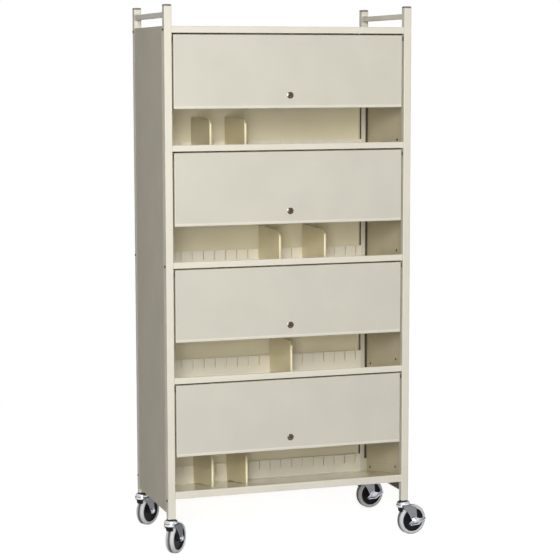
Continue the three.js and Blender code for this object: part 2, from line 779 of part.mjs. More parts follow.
export default rack;
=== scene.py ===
"""Looks of a mobile medical chart rack with flip-up locking panels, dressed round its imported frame.

Every size is in metres. Unless a class says otherwise, a piece is built in the rack's own frame: X from the
middle of the rack, Y back from the front faces of the posts, Z up from the floor.
"""

import json
import logging
import math
from dataclasses import dataclass
from enum import Enum
from typing import Optional, Sequence

import bmesh
import bpy
from mathutils import Matrix, Vector


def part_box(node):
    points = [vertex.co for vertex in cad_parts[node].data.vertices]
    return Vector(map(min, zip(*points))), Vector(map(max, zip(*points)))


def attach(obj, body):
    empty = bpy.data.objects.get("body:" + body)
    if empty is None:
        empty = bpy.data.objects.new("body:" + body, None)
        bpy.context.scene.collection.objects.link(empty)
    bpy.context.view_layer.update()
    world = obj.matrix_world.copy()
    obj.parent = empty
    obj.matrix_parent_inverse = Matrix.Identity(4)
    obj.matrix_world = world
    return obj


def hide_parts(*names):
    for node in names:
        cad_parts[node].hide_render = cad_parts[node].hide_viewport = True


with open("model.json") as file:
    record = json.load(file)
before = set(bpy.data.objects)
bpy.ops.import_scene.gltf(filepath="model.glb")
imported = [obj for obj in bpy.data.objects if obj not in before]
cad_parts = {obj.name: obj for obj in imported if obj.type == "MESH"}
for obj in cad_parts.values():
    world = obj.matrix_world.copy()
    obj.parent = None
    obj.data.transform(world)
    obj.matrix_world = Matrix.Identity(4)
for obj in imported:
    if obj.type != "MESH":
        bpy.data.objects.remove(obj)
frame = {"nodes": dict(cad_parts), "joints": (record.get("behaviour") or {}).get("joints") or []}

MM = 0.001
WELD = 1e-6
PLACES = ("front_left", "front_right", "rear_left", "rear_right")
SIDES = {"left": -1, "right": 1}

Pair = tuple[float, float]
Colour = tuple[float, float, float, float]

RACK = "rack"
UNIT: Pair = (0.0, 1.0)
NOISE_SPAN: Pair = (0.3, 0.7)
WHITE: Colour = (1.0, 1.0, 1.0, 1.0)
NUT_SIDES = 6
EDGE_FLATS = 2
SHARP_ANGLE = math.radians(38)
SHADING_WEIGHT = 60

log = logging.getLogger("chart_rack")


class Slot(Enum):
    """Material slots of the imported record."""

    PAINT = "putty_paint"
    PLASTIC = "dark_plastic"
    CHROME = "chrome"
    ZINC = "zinc_steel"
    HUB = "black_hub"
    RUBBER = "grey_rubber"


class Axis(Enum):
    """Direction in which a section is drawn out or about which it is turned."""

    X = "x"
    Y = "y"
    Z = "z"

    def point(self, a: float, b: float, along: float) -> Vector:
        """Point of a section.

        Args:
            a: first section coordinate.
            b: second section coordinate.
            along: distance along this axis.

        Returns:
            The point as (x, y, z).
        """
        if self is Axis.X:
            return Vector((along, a, b))
        if self is Axis.Y:
            return Vector((a, along, b))
        return Vector((a, b, along))


def screen_colour(red: int, green: int, blue: int) -> Colour:
    """Linear colour of a screen colour.

    Args:
        red: red from 0 to 255.
        green: green from 0 to 255.
        blue: blue from 0 to 255.

    Returns:
        The colour with full alpha, as shaders take it.
    """

    def straight(value: int) -> float:
        """Linear share of one screen value, by the sRGB curve."""
        share = value / 255
        return share / 12.92 if share <= 0.04045 else ((share + 0.055) / 1.055) ** 2.4

    return (straight(red), straight(green), straight(blue), 1.0)


def toned(colour: Colour, factor: float) -> Colour:
    """A colour made lighter or darker by a factor."""
    return (colour[0] * factor, colour[1] * factor, colour[2] * factor, 1.0)


class NodeSheet:
    """A node tree with short ways to add and join nodes."""

    def __init__(self, tree: bpy.types.NodeTree) -> None:
        """Starts from an empty tree."""
        self.tree = tree
        self.tree.nodes.clear()

    def add(self, kind: str, values: Optional[dict[str, object]] = None,
            **settings: object) -> bpy.types.Node:
        """Adds a node.

        Args:
            kind: the node's type name.
            values: input socket values by socket name.
            settings: node properties.

        Returns:
            The new node.
        """
        node = self.tree.nodes.new(kind)
        for name, setting in settings.items():
            setattr(node, name, setting)
        for name, value in (values or {}).items():
            node.inputs[name].default_value = value
        return node

    def join(self, source: bpy.types.NodeSocket, target: bpy.types.NodeSocket) -> None:
        """Joins an output socket to an input socket."""
        self.tree.links.new(source, target)

    def place(self) -> bpy.types.NodeSocket:
        """Coordinates fixed to the piece itself, in metres."""
        return self.add("ShaderNodeTexCoord").outputs["Object"]

    def noise(self, place: bpy.types.NodeSocket, scale: float, detail: float = 2.0) -> bpy.types.NodeSocket:
        """Soft noise.

        Args:
            place: coordinates.
            scale: features per metre.
            detail: octaves.

        Returns:
            The noise value, about 0.3 to 0.7.
        """
        node = self.add("ShaderNodeTexNoise", {"Scale": scale, "Detail": detail})
        self.join(place, node.inputs["Vector"])
        return node.outputs["Fac"]

    def spread(self, value: bpy.types.NodeSocket, source: Pair, target: Pair) -> bpy.types.NodeSocket:
        """A value moved from one range to another, clamped.

        Args:
            value: the value.
            source: range that it comes in.
            target: range that it leaves in.

        Returns:
            The moved value.
        """
        node = self.add("ShaderNodeMapRange", {"From Min": source[0], "From Max": source[1],
                                               "To Min": target[0], "To Max": target[1]})
        self.join(value, node.inputs["Value"])
        return node.outputs["Result"]

    def mix(self, share: bpy.types.NodeSocket, first: Colour, second: Colour) -> bpy.types.NodeSocket:
        """A colour between two colours.

        Args:
            share: 0 for the first colour, 1 for the second.
            first: first colour.
            second: second colour.

        Returns:
            The mixed colour.
        """
        node = self.add("ShaderNodeMix", data_type="RGBA")
        colour_inputs = [socket for socket in node.inputs if socket.type == "RGBA"]
        colour_inputs[0].default_value = first
        colour_inputs[1].default_value = second
        self.join(share, node.inputs["Factor"])
        return next(socket for socket in node.outputs if socket.type == "RGBA")

    def larger(self, first: bpy.types.NodeSocket, second: bpy.types.NodeSocket) -> bpy.types.NodeSocket:
        """The larger of two values.

        Args:
            first: first value.
            second: second value.

        Returns:
            The larger value.
        """
        node = self.add("ShaderNodeMath", operation="MAXIMUM")
        self.join(first, node.inputs[0])
        self.join(second, node.inputs[1])
        return node.outputs["Value"]

    def between(self, share: bpy.types.NodeSocket, first: bpy.types.NodeSocket,
                second: bpy.types.NodeSocket) -> bpy.types.NodeSocket:
        """A shader between two shaders.

        Args:
            share: 0 for the first shader, 1 for the second.
            first: first shader.
            second: second shader.

        Returns:
            The mixed shader.
        """
        node = self.add("ShaderNodeMixShader")
        self.join(share, node.inputs["Fac"])
        self.join(first, node.inputs[1])
        self.join(second, node.inputs[2])
        return node.outputs["Shader"]

    def bump(self, height: bpy.types.NodeSocket, strength: float, distance: float) -> bpy.types.NodeSocket:
        """A surface normal from a height.

        Args:
            height: the height, from 0 to 1.
            strength: share of the effect.
            distance: height of the relief in metres.

        Returns:
            The normal.
        """
        node = self.add("ShaderNodeBump", {"Strength": strength, "Distance": distance})
        self.join(height, node.inputs["Height"])
        return node.outputs["Normal"]


@dataclass(frozen=True)
class Finish:
    """A surface finish made of shader nodes."""

    name: str
    colour: Colour
    slot: Optional[Slot] = None
    rough: Pair = (0.4, 0.5)
    metallic: float = 0.0

    def material(self) -> bpy.types.Material:
        """This finish as a material, made at its first use.

        Returns:
            The material.
        """
        made = bpy.data.materials.get(self.name)
        if made is None:
            made = bpy.data.materials.new(self.name)
            made.use_nodes = True
            made.diffuse_color = self.colour
            sheet = NodeSheet(made.node_tree)
            shader = sheet.add("ShaderNodeBsdfPrincipled", {"Metallic": self.metallic})
            output = sheet.add("ShaderNodeOutputMaterial")
            sheet.join(shader.outputs["BSDF"], output.inputs["Surface"])
            self.paint(sheet, shader)
        return made

    def paint(self, sheet: NodeSheet, shader: bpy.types.Node) -> None:
        """Joins colour, roughness and relief to the shader."""
        raise NotImplementedError


@dataclass(frozen=True)
class PowderCoat(Finish):
    """Baked powder paint on sheet steel: faint unevenness and orange peel."""

    cloud_scale: float = 7.0
    cloud_detail: float = 4.0
    cloud_span: Pair = (0.35, 0.65)
    cloud_tone: float = 0.025
    gloss_scale: float = 42.0
    gloss_detail: float = 3.0
    peel_scale: float = 380.0
    peel_detail: float = 1.5
    peel_height: float = 0.25 * MM
    peel_strength: float = 0.10
    shine: float = 0.5

    def paint(self, sheet: NodeSheet, shader: bpy.types.Node) -> None:
        """Clouded colour, uneven gloss and orange peel.

        Args:
            sheet: the material's nodes.
            shader: its surface shader.
        """
        place = sheet.place()
        cloud = sheet.spread(sheet.noise(place, self.cloud_scale, self.cloud_detail), self.cloud_span, UNIT)
        dark = toned(self.colour, 1 - self.cloud_tone)
        light = toned(self.colour, 1 + self.cloud_tone)
        sheet.join(sheet.mix(cloud, dark, light), shader.inputs["Base Color"])
        gloss = sheet.noise(place, self.gloss_scale, self.gloss_detail)
        sheet.join(sheet.spread(gloss, NOISE_SPAN, self.rough), shader.inputs["Roughness"])
        peel = sheet.noise(place, self.peel_scale, self.peel_detail)
        sheet.join(sheet.bump(peel, self.peel_strength, self.peel_height), shader.inputs["Normal"])
        shader.inputs["Specular IOR Level"].default_value = self.shine


@dataclass(frozen=True)
class MouldedPlastic(Finish):
    """Moulded plastic with a fine grain."""

    scuff_scale: float = 60.0
    scuff_detail: float = 5.0
    scuff_span: Pair = (0.45, 0.75)
    scuff_tone: float = 1.35
    grain_scale: float = 900.0
    grain_height: float = 0.2 * MM
    grain_strength: float = 0.2
    shine: float = 0.5

    def paint(self, sheet: NodeSheet, shader: bpy.types.Node) -> None:
        """Scuffed colour and moulded grain.

        Args:
            sheet: the material's nodes.
            shader: its surface shader.
        """
        place = sheet.place()
        scuff = sheet.noise(place, self.scuff_scale, self.scuff_detail)
        rubbed = sheet.spread(scuff, self.scuff_span, UNIT)
        lighter = toned(self.colour, self.scuff_tone)
        sheet.join(sheet.mix(rubbed, self.colour, lighter), shader.inputs["Base Color"])
        sheet.join(sheet.spread(scuff, NOISE_SPAN, self.rough), shader.inputs["Roughness"])
        grain = sheet.noise(place, self.grain_scale)
        sheet.join(sheet.bump(grain, self.grain_strength, self.grain_height), shader.inputs["Normal"])
        shader.inputs["Specular IOR Level"].default_value = self.shine


@dataclass(frozen=True)
class PlatedMetal(Finish):
    """Plated steel: cloudy plating with fine drawn marks."""

    metallic: float = 1.0
    cell_scale: float = 160.0
    cell_tone: float = 0.06
    gloss_scale: float = 90.0
    gloss_detail: float = 4.0
    mark_scale: float = 1200.0
    mark_detail: float = 1.0
    mark_height: float = 0.05 * MM
    mark_strength: float = 0.15
    edge_shade_tint: Colour = WHITE

    def paint(self, sheet: NodeSheet, shader: bpy.types.Node) -> None:
        """Plating cells, uneven gloss, fine marks and an edge shade tint, which on the chrome finishes
        darkens grazing reflections as painted dark reflection.

        Args:
            sheet: the material's nodes.
            shader: its surface shader.
        """
        place = sheet.place()
        cells = sheet.add("ShaderNodeTexVoronoi", {"Scale": self.cell_scale})
        sheet.join(place, cells.inputs["Vector"])
        dark = toned(self.colour, 1 - self.cell_tone)
        light = toned(self.colour, 1 + self.cell_tone)
        sheet.join(sheet.mix(cells.outputs["Color"], dark, light), shader.inputs["Base Color"])
        gloss = sheet.noise(place, self.gloss_scale, self.gloss_detail)
        sheet.join(sheet.spread(gloss, NOISE_SPAN, self.rough), shader.inputs["Roughness"])
        marks = sheet.noise(place, self.mark_scale, self.mark_detail)
        sheet.join(sheet.bump(marks, self.mark_strength, self.mark_height), shader.inputs["Normal"])
        # The edge shade tint darkens grazing reflections; on the chrome finishes this is painted dark
        # reflection.
        shader.inputs["Specular Tint"].default_value = self.edge_shade_tint


@dataclass(frozen=True)
class TyreRubber(Finish):
    """Grey tyre rubber with its tread band painted darker as painted shade; the piece's own Y axis is the
    axle.
    """

    tread_shade_colour: Colour = (0.05, 0.05, 0.05, 1.0)
    tread_from: float = 7.5 * MM
    tread_to: float = 4.0 * MM
    dust_and_shade_scale: float = 45.0
    dust_and_shade_detail: float = 5.0
    shade_edge_wander: float = 2.0 * MM
    grain_scale: float = 700.0
    grain_height: float = 0.2 * MM
    grain_strength: float = 0.25

    def paint(self, sheet: NodeSheet, shader: bpy.types.Node) -> None:
        """Darker band round the middle of the tread as painted shade, with a noise-shifted edge, patchy
        dust in the roughness and a fine grain.

        Args:
            sheet: the material's nodes.
            shader: its surface shader.
        """
        place = sheet.place()
        parts = sheet.add("ShaderNodeSeparateXYZ")
        sheet.join(place, parts.inputs["Vector"])
        reach = sheet.add("ShaderNodeMath", operation="ABSOLUTE")
        sheet.join(parts.outputs["Y"], reach.inputs[0])
        dust_and_shade = sheet.noise(place, self.dust_and_shade_scale, self.dust_and_shade_detail)
        uneven = sheet.add("ShaderNodeMath", operation="MULTIPLY_ADD")
        uneven.inputs[1].default_value = self.shade_edge_wander
        sheet.join(dust_and_shade, uneven.inputs[0])
        sheet.join(reach.outputs["Value"], uneven.inputs[2])
        tread_shade = sheet.spread(uneven.outputs["Value"], (self.tread_from, self.tread_to), UNIT)
        sheet.join(sheet.mix(tread_shade, self.colour, self.tread_shade_colour), shader.inputs["Base Color"])
        sheet.join(sheet.spread(dust_and_shade, NOISE_SPAN, self.rough), shader.inputs["Roughness"])
        grain = sheet.noise(place, self.grain_scale)
        sheet.join(sheet.bump(grain, self.grain_strength, self.grain_height), shader.inputs["Normal"])


# Every sheet has one putty paint. frame_paint is that paint. The others are copies whose tones stand in for
# light and shade. The shelf, back and divider paints are painted lighter for the light inside the bays. The
# door and wall paints are painted darker as painted shade. The side paint is a warmer copy toned for the
# shade on the left side. The hem paint is a lighter copy of the door paint, as a painted highlight.
FRAME_PAINT = PowderCoat("frame_paint", screen_colour(219, 214, 199), Slot.PAINT, (0.40, 0.52))
SHELF_LIT_PAINT = PowderCoat("shelf_lit_paint", screen_colour(239, 233, 215), Slot.PAINT, (0.09, 0.12),
                         peel_strength=0.01)
DOOR_SHADED_PAINT = PowderCoat("door_shaded_paint", screen_colour(202, 198, 185), Slot.PAINT, (0.38, 0.50))
HEM_HIGHLIGHT_PAINT = PowderCoat("hem_highlight_paint", screen_colour(217, 213, 199), Slot.PAINT, (0.38, 0.50))
SIDE_SHADE_TONED_PAINT = PowderCoat("side_shade_toned_paint", screen_colour(220, 213, 194), Slot.PAINT, (0.42, 0.55), shine=0.05)
WALL_SHADED_PAINT = PowderCoat("wall_shaded_paint", screen_colour(215, 205, 176), Slot.PAINT, (0.42, 0.55))
BACK_LIT_PAINT = PowderCoat("back_lit_paint", screen_colour(240, 231, 200), Slot.PAINT, (0.45, 0.58))
DIVIDER_LIT_PAINT = PowderCoat("divider_lit_paint", screen_colour(248, 236, 196), Slot.PAINT, (0.36, 0.48))
CAP_PLASTIC = MouldedPlastic("cap_plastic", screen_colour(112, 110, 106), Slot.PLASTIC, (0.5, 0.65))
COLLAR_PLASTIC = MouldedPlastic("collar_plastic", screen_colour(34, 34, 36), Slot.PLASTIC, (0.45, 0.6))
HUB_PLASTIC = MouldedPlastic("hub_plastic", screen_colour(27, 27, 30), Slot.HUB, (0.35, 0.5), shine=0.1)
TYRE_GREY = TyreRubber("tyre_grey", screen_colour(214, 214, 216), Slot.RUBBER, (0.55, 0.75),
                       tread_shade_colour=screen_colour(92, 92, 95))
# Dark brown for the corner strips and the sheets under the bottom shelf: painted shade.
PAINTED_SHADE_DARK = MouldedPlastic("painted_shade_dark", screen_colour(70, 62, 47), Slot.PLASTIC, (0.6, 0.75))
# Dark tint for the grazing edges of the chrome: painted dark reflection.
CHROME_EDGE_SHADE = screen_colour(90, 92, 100)
CHROME = PlatedMetal("caster_chrome", screen_colour(206, 208, 213), Slot.CHROME, (0.16, 0.28),
                     edge_shade_tint=CHROME_EDGE_SHADE)
# A darker copy of the caster chrome for the fork sheet: painted dark reflection.
FORK_SHADED_CHROME = PlatedMetal("fork_shaded_chrome", screen_colour(126, 128, 132), Slot.CHROME, (0.16, 0.28),
                          edge_shade_tint=CHROME_EDGE_SHADE)
ZINC = PlatedMetal("slide_zinc", screen_colour(132, 129, 122), Slot.ZINC, (0.3, 0.45), cell_scale=90.0)
# The lock's dark base colour stands in for the dark surroundings it reflects: painted dark reflection.
LOCK_NICKEL = PlatedMetal("lock_nickel", screen_colour(94, 84, 74), Slot.ZINC, (0.10, 0.18))
SLIDE_DARK = PlatedMetal("slide_dark", screen_colour(92, 86, 76), Slot.ZINC, (0.4, 0.55))
BOLT_BLACK = PlatedMetal("bolt_black", screen_colour(70, 64, 56), None, (0.35, 0.5), metallic=0.7)


def quarter_turn(steps: int) -> list[float]:
    """Angles of a quarter turn in equal steps, both ends included."""
    return [step / steps * math.pi / 2 for step in range(steps + 1)]


def round_outline(radius: float, steps: int) -> list[Pair]:
    """Points of a circle about its middle, in equal steps."""
    angles = [2 * math.pi * step / steps for step in range(steps)]
    return [(radius * math.cos(angle), radius * math.sin(angle)) for angle in angles]


def rounded_rectangle(half_a: float, half_b: float, radius: float, steps: int = 5) -> list[Pair]:
    """Outline of a rectangle with round corners about its middle.

    Args:
        half_a: half of its width.
        half_b: half of its height.
        radius: corner radius.
        steps: flats on each corner.

    Returns:
        The outline's points.
    """
    points = []
    for quarter, (sign_a, sign_b) in enumerate(((1, 1), (-1, 1), (-1, -1), (1, -1))):
        for step in range(steps + 1):
            angle = (quarter + step / steps) * math.pi / 2
            points.append((sign_a * (half_a - radius) + radius * math.cos(angle),
                           sign_b * (half_b - radius) + radius * math.sin(angle)))
    return points


def folded_line(corners: Sequence[Pair], radius: float, steps: int = 6) -> list[Pair]:
    """A line with its inner corners rounded.

    Args:
        corners: ends and folds of the line.
        radius: reach of each round fold.
        steps: flats on each fold.

    Returns:
        The line's points.
    """
    points = [corners[0]]
    for before, fold, after in zip(corners, corners[1:], corners[2:]):
        middle = Vector(fold)
        start = middle + (Vector(before) - middle).normalized() * radius
        end = middle + (Vector(after) - middle).normalized() * radius
        for step in range(steps + 1):
            share = step / steps
            point = start * (1 - share) ** 2 + middle * (2 * share * (1 - share)) + end * share ** 2
            points.append((point.x, point.y))
    points.append(corners[-1])
    return points


def beside_line(points: Sequence[Pair], distance: float) -> list[Pair]:
    """A line moved to its left.

    Args:
        points: the line.
        distance: how far it moves, negative to the right.

    Returns:
        The moved line.
    """
    moved = []
    for index, point in enumerate(points):
        here = Vector(point)
        arrive = (here - Vector(points[index - 1])).normalized() if index else None
        leave = (Vector(points[index + 1]) - here).normalized() if index + 1 < len(points) else arrive
        arrive = arrive or leave
        along = (arrive + leave).normalized()
        stretch = distance / along.dot(arrive)
        moved.append((here.x - along.y * stretch, here.y + along.x * stretch))
    return moved


def sheet_section(corners: Sequence[Pair], fold: float, sheet: float) -> list[Pair]:
    """Closed section of a folded sheet, right of its corners or, with a negative sheet, left of them."""
    outer = folded_line(corners, fold)
    return outer + beside_line(outer, -sheet)[::-1]


def both_sides(side: Sequence[Pair]) -> list[Pair]:
    """Closed profile from one side of it, as pairs of radius and distance from the middle."""
    return [*side, *((radius, -along) for radius, along in reversed(side))]


class Shape:
    """A mesh under construction."""

    def __init__(self) -> None:
        """Starts empty."""
        self.mesh = bmesh.new()

    def rows(self, rings: Sequence[Sequence[Vector]]) -> list[list[bmesh.types.BMVert]]:
        """Adds rings of points without faces."""
        return [[self.mesh.verts.new(point) for point in ring] for ring in rings]

    def wrap(self, rows: Sequence[Sequence[bmesh.types.BMVert]]) -> None:
        """Joins each row of points to the next one by a band of faces.

        Args:
            rows: rows with equal counts of points.
        """
        for first, second in zip(rows, rows[1:]):
            count = len(first)
            for index in range(count):
                after = (index + 1) % count
                self.mesh.faces.new((first[index], first[after], second[after], second[index]))

    def skin(self, rings: Sequence[Sequence[Vector]], closed: bool = False) -> "Shape":
        """A closed skin over rings of points.

        Args:
            rings: rings with equal counts of points.
            closed: whether the last ring joins the first, instead of both being capped.

        Returns:
            This shape.
        """
        rows = self.rows(rings)
        self.wrap(rows + rows[:1] if closed else rows)
        if not closed:
            self.mesh.faces.new(rows[0][::-1])
            self.mesh.faces.new(rows[-1])
        return self

    def loft(self, axis: Axis, stations: Sequence[tuple[Sequence[Pair], float]],
             closed: bool = False) -> "Shape":
        """A skin over sections, each with its distance along an axis, closed as skin says."""
        rings = [[axis.point(a, b, along) for a, b in section] for section, along in stations]
        return self.skin(rings, closed)

    def prism(self, section: Sequence[Pair], axis: Axis, start: float, end: float) -> "Shape":
        """A closed section drawn out along an axis, from start to end."""
        return self.loft(axis, ((section, start), (section, end)))

    def block(self, low: Sequence[float], high: Sequence[float]) -> "Shape":
        """A block between two corners."""
        section = [(low[0], low[1]), (high[0], low[1]), (high[0], high[1]), (low[0], high[1])]
        return self.prism(section, Axis.Z, low[2], high[2])

    def lathe(self, profile: Sequence[Pair], axis: Axis, centre: Sequence[float] = (0, 0, 0),
              steps: int = 48, closed: bool = False) -> "Shape":
        """A profile turned about an axis.

        Args:
            profile: pairs of radius and distance along the axis.
            axis: the axis.
            centre: a point on the axis.
            steps: flats round the axis.
            closed: whether the profile closes on itself.

        Returns:
            This shape.
        """
        middle = Vector(centre)
        rings = [[middle + axis.point(a, b, along) for a, b in round_outline(radius, steps)]
                 for radius, along in profile]
        known = set(self.mesh.verts)
        self.skin(rings, closed)
        fresh = [vert for vert in self.mesh.verts if vert not in known]
        bmesh.ops.remove_doubles(self.mesh, verts=fresh, dist=WELD)
        return self

    def absorb(self, other: "Shape", place: Matrix) -> "Shape":
        """Adds another shape at a place and empties it.

        Args:
            other: the other shape.
            place: its place in this one.

        Returns:
            This shape.
        """
        bmesh.ops.transform(other.mesh, matrix=place, verts=other.mesh.verts)
        passing = bpy.data.meshes.new("passing")
        other.mesh.to_mesh(passing)
        other.mesh.free()
        self.mesh.from_mesh(passing)
        bpy.data.meshes.remove(passing)
        return self

    def bare(self, name: str, place: Matrix) -> bpy.types.Object:
        """This shape as a smooth object with no finish.

        Args:
            name: object name.
            place: where the shape's own frame lies.

        Returns:
            The object.
        """
        bmesh.ops.recalc_face_normals(self.mesh, faces=self.mesh.faces)
        mesh = bpy.data.meshes.new(name)
        self.mesh.to_mesh(mesh)
        self.mesh.free()
        mesh.polygons.foreach_set("use_smooth", [True] * len(mesh.polygons))
        made = bpy.data.objects.new(name, mesh)
        bpy.context.scene.collection.objects.link(made)
        made.matrix_world = place
        return made

    def piece(self, name: str, finish: Finish, place: Matrix, body: str, edge: float = 0.0,
              stands_for: Sequence[str] = ()) -> bpy.types.Object:
        """This shape as a piece, made by bare and finished by dress."""
        return dress(self.bare(name, place), finish, body, edge, stands_for)


def soften(made: bpy.types.Object, edge: float) -> None:
    """Rounds the sharp edges of an object.

    Args:
        made: the object.
        edge: width of the rounding.
    """
    bevel = made.modifiers.new("edges", "BEVEL")
    bevel.width = edge
    bevel.segments = EDGE_FLATS
    bevel.limit_method = "ANGLE"
    bevel.angle_limit = SHARP_ANGLE
    bevel.use_clamp_overlap = True


def dress(made: bpy.types.Object, finish: Finish, body: str, edge: float = 0.0,
          stands_for: Sequence[str] = ()) -> bpy.types.Object:
    """Gives an object its finish, its rounded edges and the body that it rides on.

    Args:
        made: the object.
        finish: its surface.
        body: the body that it rides on.
        edge: rounding of its sharp edges.
        stands_for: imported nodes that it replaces.

    Returns:
        The same object.
    """
    made.data.materials.append(finish.material())
    if edge:
        soften(made, edge)
    made.modifiers.new("shading", "WEIGHTED_NORMAL").weight = SHADING_WEIGHT
    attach(made, body)
    if stands_for:
        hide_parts(*stands_for)
    log.info("%s rides on %s", made.name, body)
    return made


def carve(made: bpy.types.Object, cutter: Shape) -> None:
    """Cuts a shape out of an object that lies in the same frame.

    Args:
        made: the object.
        cutter: the shape, which is used up.
    """
    tool = cutter.bare("cutter", made.matrix_world)
    cut = made.modifiers.new("cut", "BOOLEAN")
    cut.operation = "DIFFERENCE"
    cut.solver = "EXACT"
    cut.object = tool
    view = bpy.context.evaluated_depsgraph_get()
    carved = bpy.data.meshes.new_from_object(made.evaluated_get(view))
    made.modifiers.clear()
    old = made.data
    carved.name = old.name + "_carved"
    made.data = carved
    bpy.data.meshes.remove(old)
    spent = tool.data
    bpy.data.objects.remove(tool)
    bpy.data.meshes.remove(spent)


@dataclass(frozen=True)
class RackPlan:
    """Driving sizes of the rack and the place of its own frame."""

    width: float = 840 * MM
    depth: float = 420 * MM
    post: float = 25 * MM
    post_wall: float = 1.6 * MM
    sheet: float = 1.2 * MM
    fold: float = 3 * MM
    fit: float = 0.3 * MM
    bays: int = 4
    shelf_pitch: float = 375 * MM
    lip: float = 21 * MM
    bottom_lip: float = 25 * MM
    setback: float = 3 * MM
    slope: float = math.radians(10.3)

    @property
    def place(self) -> Matrix:
        """Where the rack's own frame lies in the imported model.

        Returns:
            The frame's place.
        """
        left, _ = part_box("post_front_left")
        _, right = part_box("post_front_right")
        return Matrix.Translation(((left.x + right.x) / 2, left.y, 0))

    @property
    def half(self) -> float:
        """Half of the width over the posts."""
        return self.width / 2

    @property
    def inside(self) -> float:
        """Half of the clear width between the posts."""
        return self.half - self.post

    @property
    def plug(self) -> float:
        """Half of the width of what fits into a post's tube."""
        return self.post / 2 - self.post_wall - self.fit

    @property
    def top(self) -> float:
        """Height of the top panel."""
        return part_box("top_panel")[1].z

    def level(self, bay: int) -> float:
        """Height of a shelf's front edge, or of the top panel for bay 0."""
        return self.top - bay * self.shelf_pitch

    def deck(self, bay: int, back: float) -> float:
        """Height of a sloped shelf at a distance behind the posts' front faces."""
        return self.level(bay) - (back - self.setback) * math.tan(self.slope)


def under(node: str) -> Matrix:
    """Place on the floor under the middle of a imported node.

    Args:
        node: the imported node.

    Returns:
        The place.
    """
    low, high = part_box(node)
    middle = (low + high) / 2
    return Matrix.Translation((middle.x, middle.y, 0))


def repaint(node: str, finish: Finish) -> None:
    """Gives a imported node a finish.

    Args:
        node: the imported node.
        finish: its surface.
    """
    materials = frame["nodes"][node].data.materials
    materials.clear()
    materials.append(finish.material())
    log.info("%s keeps its packed shape", node)


@dataclass(frozen=True)
class BoltHead:
    """Domed bolt head with a six-sided socket, along X; its shares are of its radius and height."""

    radius: float
    height: float
    steps: int = 24
    dome: tuple[Pair, ...] = ((1.0, 0.0), (1.0, 0.30), (0.93, 0.62), (0.78, 0.86), (0.62, 1.0))
    socket_corner: float = 0.52
    socket_floor: float = 0.35

    def add(self, shape: Shape, centre: Sequence[float], side: int) -> None:
        """Adds a head to a shape.

        Args:
            shape: shape that takes the head.
            centre: middle of its seat.
            side: 1 or -1, the way that it points along X.
        """
        round_points = round_outline(1.0, self.steps)
        middle = Vector(centre)
        levels = [([share * self.radius] * self.steps, rise * self.height) for share, rise in self.dome]
        levels += [(self.socket(), self.height), (self.socket(), self.socket_floor * self.height)]
        shape.skin([[middle + Axis.X.point(reach * a, reach * b, side * rise)
                     for reach, (a, b) in zip(reaches, round_points)] for reaches, rise in levels])

    def socket(self) -> list[float]:
        """Reach of the socket's wall from the axis.

        Returns:
            One distance for each step round the axis.
        """
        half_side = math.pi / NUT_SIDES
        flat = self.socket_corner * self.radius * math.cos(half_side)
        angles = [2 * math.pi * step / self.steps for step in range(self.steps)]
        return [flat / math.cos(angle % (2 * half_side) - half_side) for angle in angles]


